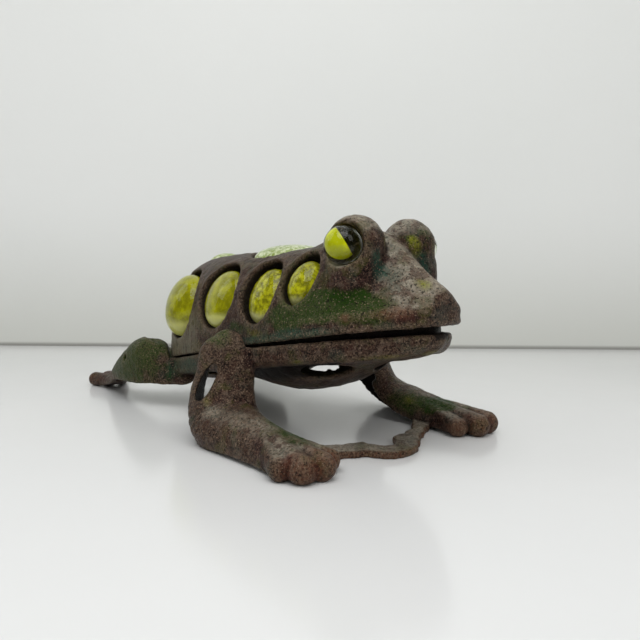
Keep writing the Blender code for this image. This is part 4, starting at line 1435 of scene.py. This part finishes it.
def hinge_pin():
    """A pin with peened, domed heads."""
    low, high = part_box("hinge_pin")
    _, s, z = middle_of("hinge_pin")
    half = (high - low).x / MM / 2.0
    rings = [(radius, half - inset) for radius, inset in PIN_HEAD] + [(PIN_RADIUS, 2.0)]
    rings += [(PIN_RADIUS, 0.0)] + [(radius, -x) for radius, x in reversed(rings)]
    turns = 28
    angles = [2.0 * math.pi * k / turns for k in range(turns)]
    points = [(x, s + r * math.cos(a), z + r * math.sin(a)) for r, x in rings for a in angles]
    points += [(half, s, z), (-half, s, z)]
    first, last = len(points) - 2, len(points) - 1
    end = (len(rings) - 1) * turns
    faces = []
    for k in range(turns):
        after = (k + 1) % turns
        for row in range(0, end, turns):
            faces.append((row + k, row + turns + k, row + turns + after, row + after))
        faces += [(first, k, after), (last, end + after, end + k)]
    fitted(mesh_object("pin", points, faces), steel(), "base", "hinge_pin")


def adhesive():
    """Runs of clear adhesive round the back of each glass."""
    look = glue()
    for name in sorted(name for name in frame["nodes"] if name.startswith("adhesive")):
        source = frame["nodes"][name].data
        centre = middle_of(name)
        points = np.array([v.co for v in source.vertices]) / MM - SHIFT
        inward = -unit(centre - np.array((0.0, centre[1], RUN_AIM)))
        points = centre + (points - centre) * RUN_SCALE + inward * RUN_SINK
        points += 0.3 * noise(points, 4.0, 41)[:, None]
        mesh = source.copy()
        mesh.vertices.foreach_set("co", placed(points).astype(np.float32).ravel())
        made = added(name + "_run", mesh)
        subdivide = made.modifiers.new("round", "SUBSURF")
        subdivide.levels = subdivide.render_levels = 1
        fitted(made, look, "lid", name)


def add_lid():
    grid = Grid((0, -43, 19), (48, 164, 106))
    lid, points, normals, bend = cast_mesh("lid_casting", *grid.whole(lid_field(grid)))
    paint_lid(lid, points, normals, bend)
    fitted(lid, painted_iron("paint_lid", *LID_PAINT), "lid", "lid_shell")


def add_body():
    grid = Grid((0, -41, -2.2), (72, 230, 60))
    field, corner = grid.whole(lower_field(grid))
    field = add_tie(field, corner)
    heights = corner[2] + np.arange(field.shape[2]) * STEP
    field = blend_max(field, -heights.astype(np.float32), FILLET["foot"])
    body, points, normals, bend = cast_mesh("body_casting", field, corner)
    paint_body(body, points, normals, bend)
    fitted(body, painted_iron("paint_body", *BODY_PAINT), "base", "lower_body")


# ---- Stage -----------------------------------------------------------------------------------


CAMERA_PLACE = (-0.1892, -0.27885, 0.0768)
CAMERA_TURN = math.radians(-39.9)
CAMERA_PITCH = math.radians(4.5)
CAMERA_ROLL = math.radians(0.39)
LENS = 33.75
SENSOR = 36.0
WALL_DEPTH = 0.613
WORLD_LIGHT = 0.54
WORLD_GLOSS = 0.05  # the room as reflections see it
UP = Vector((0.0, 0.0, 1.0))
BACK = Vector((math.sin(CAMERA_TURN), -math.cos(CAMERA_TURN), 0.0))  # towards the camera
ASIDE = Vector((math.cos(CAMERA_TURN), math.sin(CAMERA_TURN), 0.0))  # to the camera's right
MIDDLE = Vector((0.0, 0.0, 0.04))
# Lights: name, place and aim from the middle as aside, back and up; width, height, power, tint.
LIGHTS = (
    ("overhead", (0.0, 0.3, 0.85), (0.0, 0.0, 0.0), 0.8, 0.8, 2.6, (1.0, 1.0, 1.0)),
    ("window", (0.85, 0.75, 0.75), (0.0, 0.0, 0.0), 0.5, 0.8, 1.8, (1.0, 1.0, 0.98)),
    ("front", (0.0, 0.42, 0.5), (0.0, 0.3, 0.0), 0.5, 0.5, 1.3, (1.0, 1.0, 1.0)),
    ("left_window", (-0.8, -0.1, 0.6), (0.0, 0.0, 0.0), 0.6, 0.6, 1.2, (0.97, 0.99, 1.0)),
)


def add_camera():
    data = bpy.data.cameras.new("camera")
    data.sensor_width = SENSOR
    data.lens = LENS
    data.clip_start = 0.01
    made = added("camera", data)
    back = BACK * math.cos(CAMERA_PITCH) + UP * math.sin(CAMERA_PITCH)
    up = back.cross(ASIDE)
    c, s = math.cos(CAMERA_ROLL), math.sin(CAMERA_ROLL)
    turn = Matrix((ASIDE * c + up * s, up * c - ASIDE * s, back)).transposed().to_4x4()
    made.matrix_world = Matrix.Translation(CAMERA_PLACE) @ turn
    bpy.context.scene.camera = made


def plane(name, material, corners):
    mesh = bpy.data.meshes.new(name)
    mesh.from_pydata([tuple(c) for c in corners], [], [(0, 1, 2, 3)])
    mesh.materials.append(material)
    added(name, mesh)


def table_material():
    made, tree, shader = new_material("white_table")
    where = tree.where()
    cloud = tree.noise(where, 6.0, 3.0)
    tree.fill(
        shader,
        Base_Color=tree.mix(cloud, (0.69, 0.7, 0.705), (0.74, 0.745, 0.745)),
        Roughness=tree.line(cloud, 0.14, 0.06),
        Specular_IOR_Level=0.8,
        Normal=tree.bump(tree.noise(where, 60.0, 2.0), 0.04, 0.001),
    )
    return made


def wall_material():
    """A painted wall, darker towards its foot as painted shade and with a painted contact shadow
    along it, that shows from its front only, so that it never hides the object.
    """
    made, tree, shader = new_material("pale_wall")
    where = tree.where()
    height = tree.add("ShaderNodeSeparateXYZ", Vector=where).outputs["Z"]
    colour = tree.mix(tree.noise(where, 2.0, 4.0), (0.78, 0.8, 0.785), (0.86, 0.87, 0.86))
    # Painted shade: the wall darkens towards its foot.
    colour = tree.mix(tree.ramp(height, 0.16, -0.04), colour, (0.62, 0.63, 0.59))
    # Painted contact shadow: a dark line where the wall meets the table.
    colour = tree.mix(tree.ramp(height, 0.005, 0.001), colour, (0.3, 0.3, 0.28))
    grain = tree.bump(tree.noise(where, 220.0, 3.0), 0.08, 0.001)
    tree.fill(shader, Base_Color=colour, Roughness=0.7, Normal=grain)
    rear = tree.add("ShaderNodeNewGeometry").outputs["Backfacing"]
    tree.clear_where(rear, shader, tree.add("ShaderNodeBsdfTransparent"))
    return made


def add_stage():
    foot = Vector((*CAMERA_PLACE[:2], 0.0)) - BACK * WALL_DEPTH
    wide, tall, near = ASIDE * 2.0, UP * 2.2, BACK * 2.6
    left, right = foot - wide, foot + wide
    plane("table", table_material(), (left, left + near, right + near, right))
    plane("wall", wall_material(), (left, right, right + tall, left + tall))


def add_lights():
    world = bpy.data.worlds.new("studio")
    world.use_nodes = True
    bpy.context.scene.world = world
    tree = Tree(world)
    glossy = tree.add("ShaderNodeLightPath").outputs["Is Glossy Ray"]
    strength = tree.line(glossy, WORLD_LIGHT, WORLD_GLOSS - WORLD_LIGHT)
    tree.fill(tree.nodes["Background"], Color=(1.0, 0.99, 0.96, 1.0), Strength=strength)
    for name, place, aim, width, height, power, tint in LIGHTS:
        place, aim = (MIDDLE + ASIDE * a + BACK * b + UP * c for a, b, c in (place, aim))
        data = bpy.data.lights.new(name, "AREA")
        data.shape = "RECTANGLE"
        data.size, data.size_y = width, height
        data.energy = power
        data.color = tint
        made = added(name, data)
        made.location = place
        made.rotation_mode = "QUATERNION"
        made.rotation_quaternion = (aim - place).to_track_quat("-Z", "Y")


add_lid()
add_body()
all_glass()
eye_marbles()
hinge_pin()
adhesive()
add_stage()
add_lights()
add_camera()
bpy.context.scene.view_settings.view_transform = "Standard"
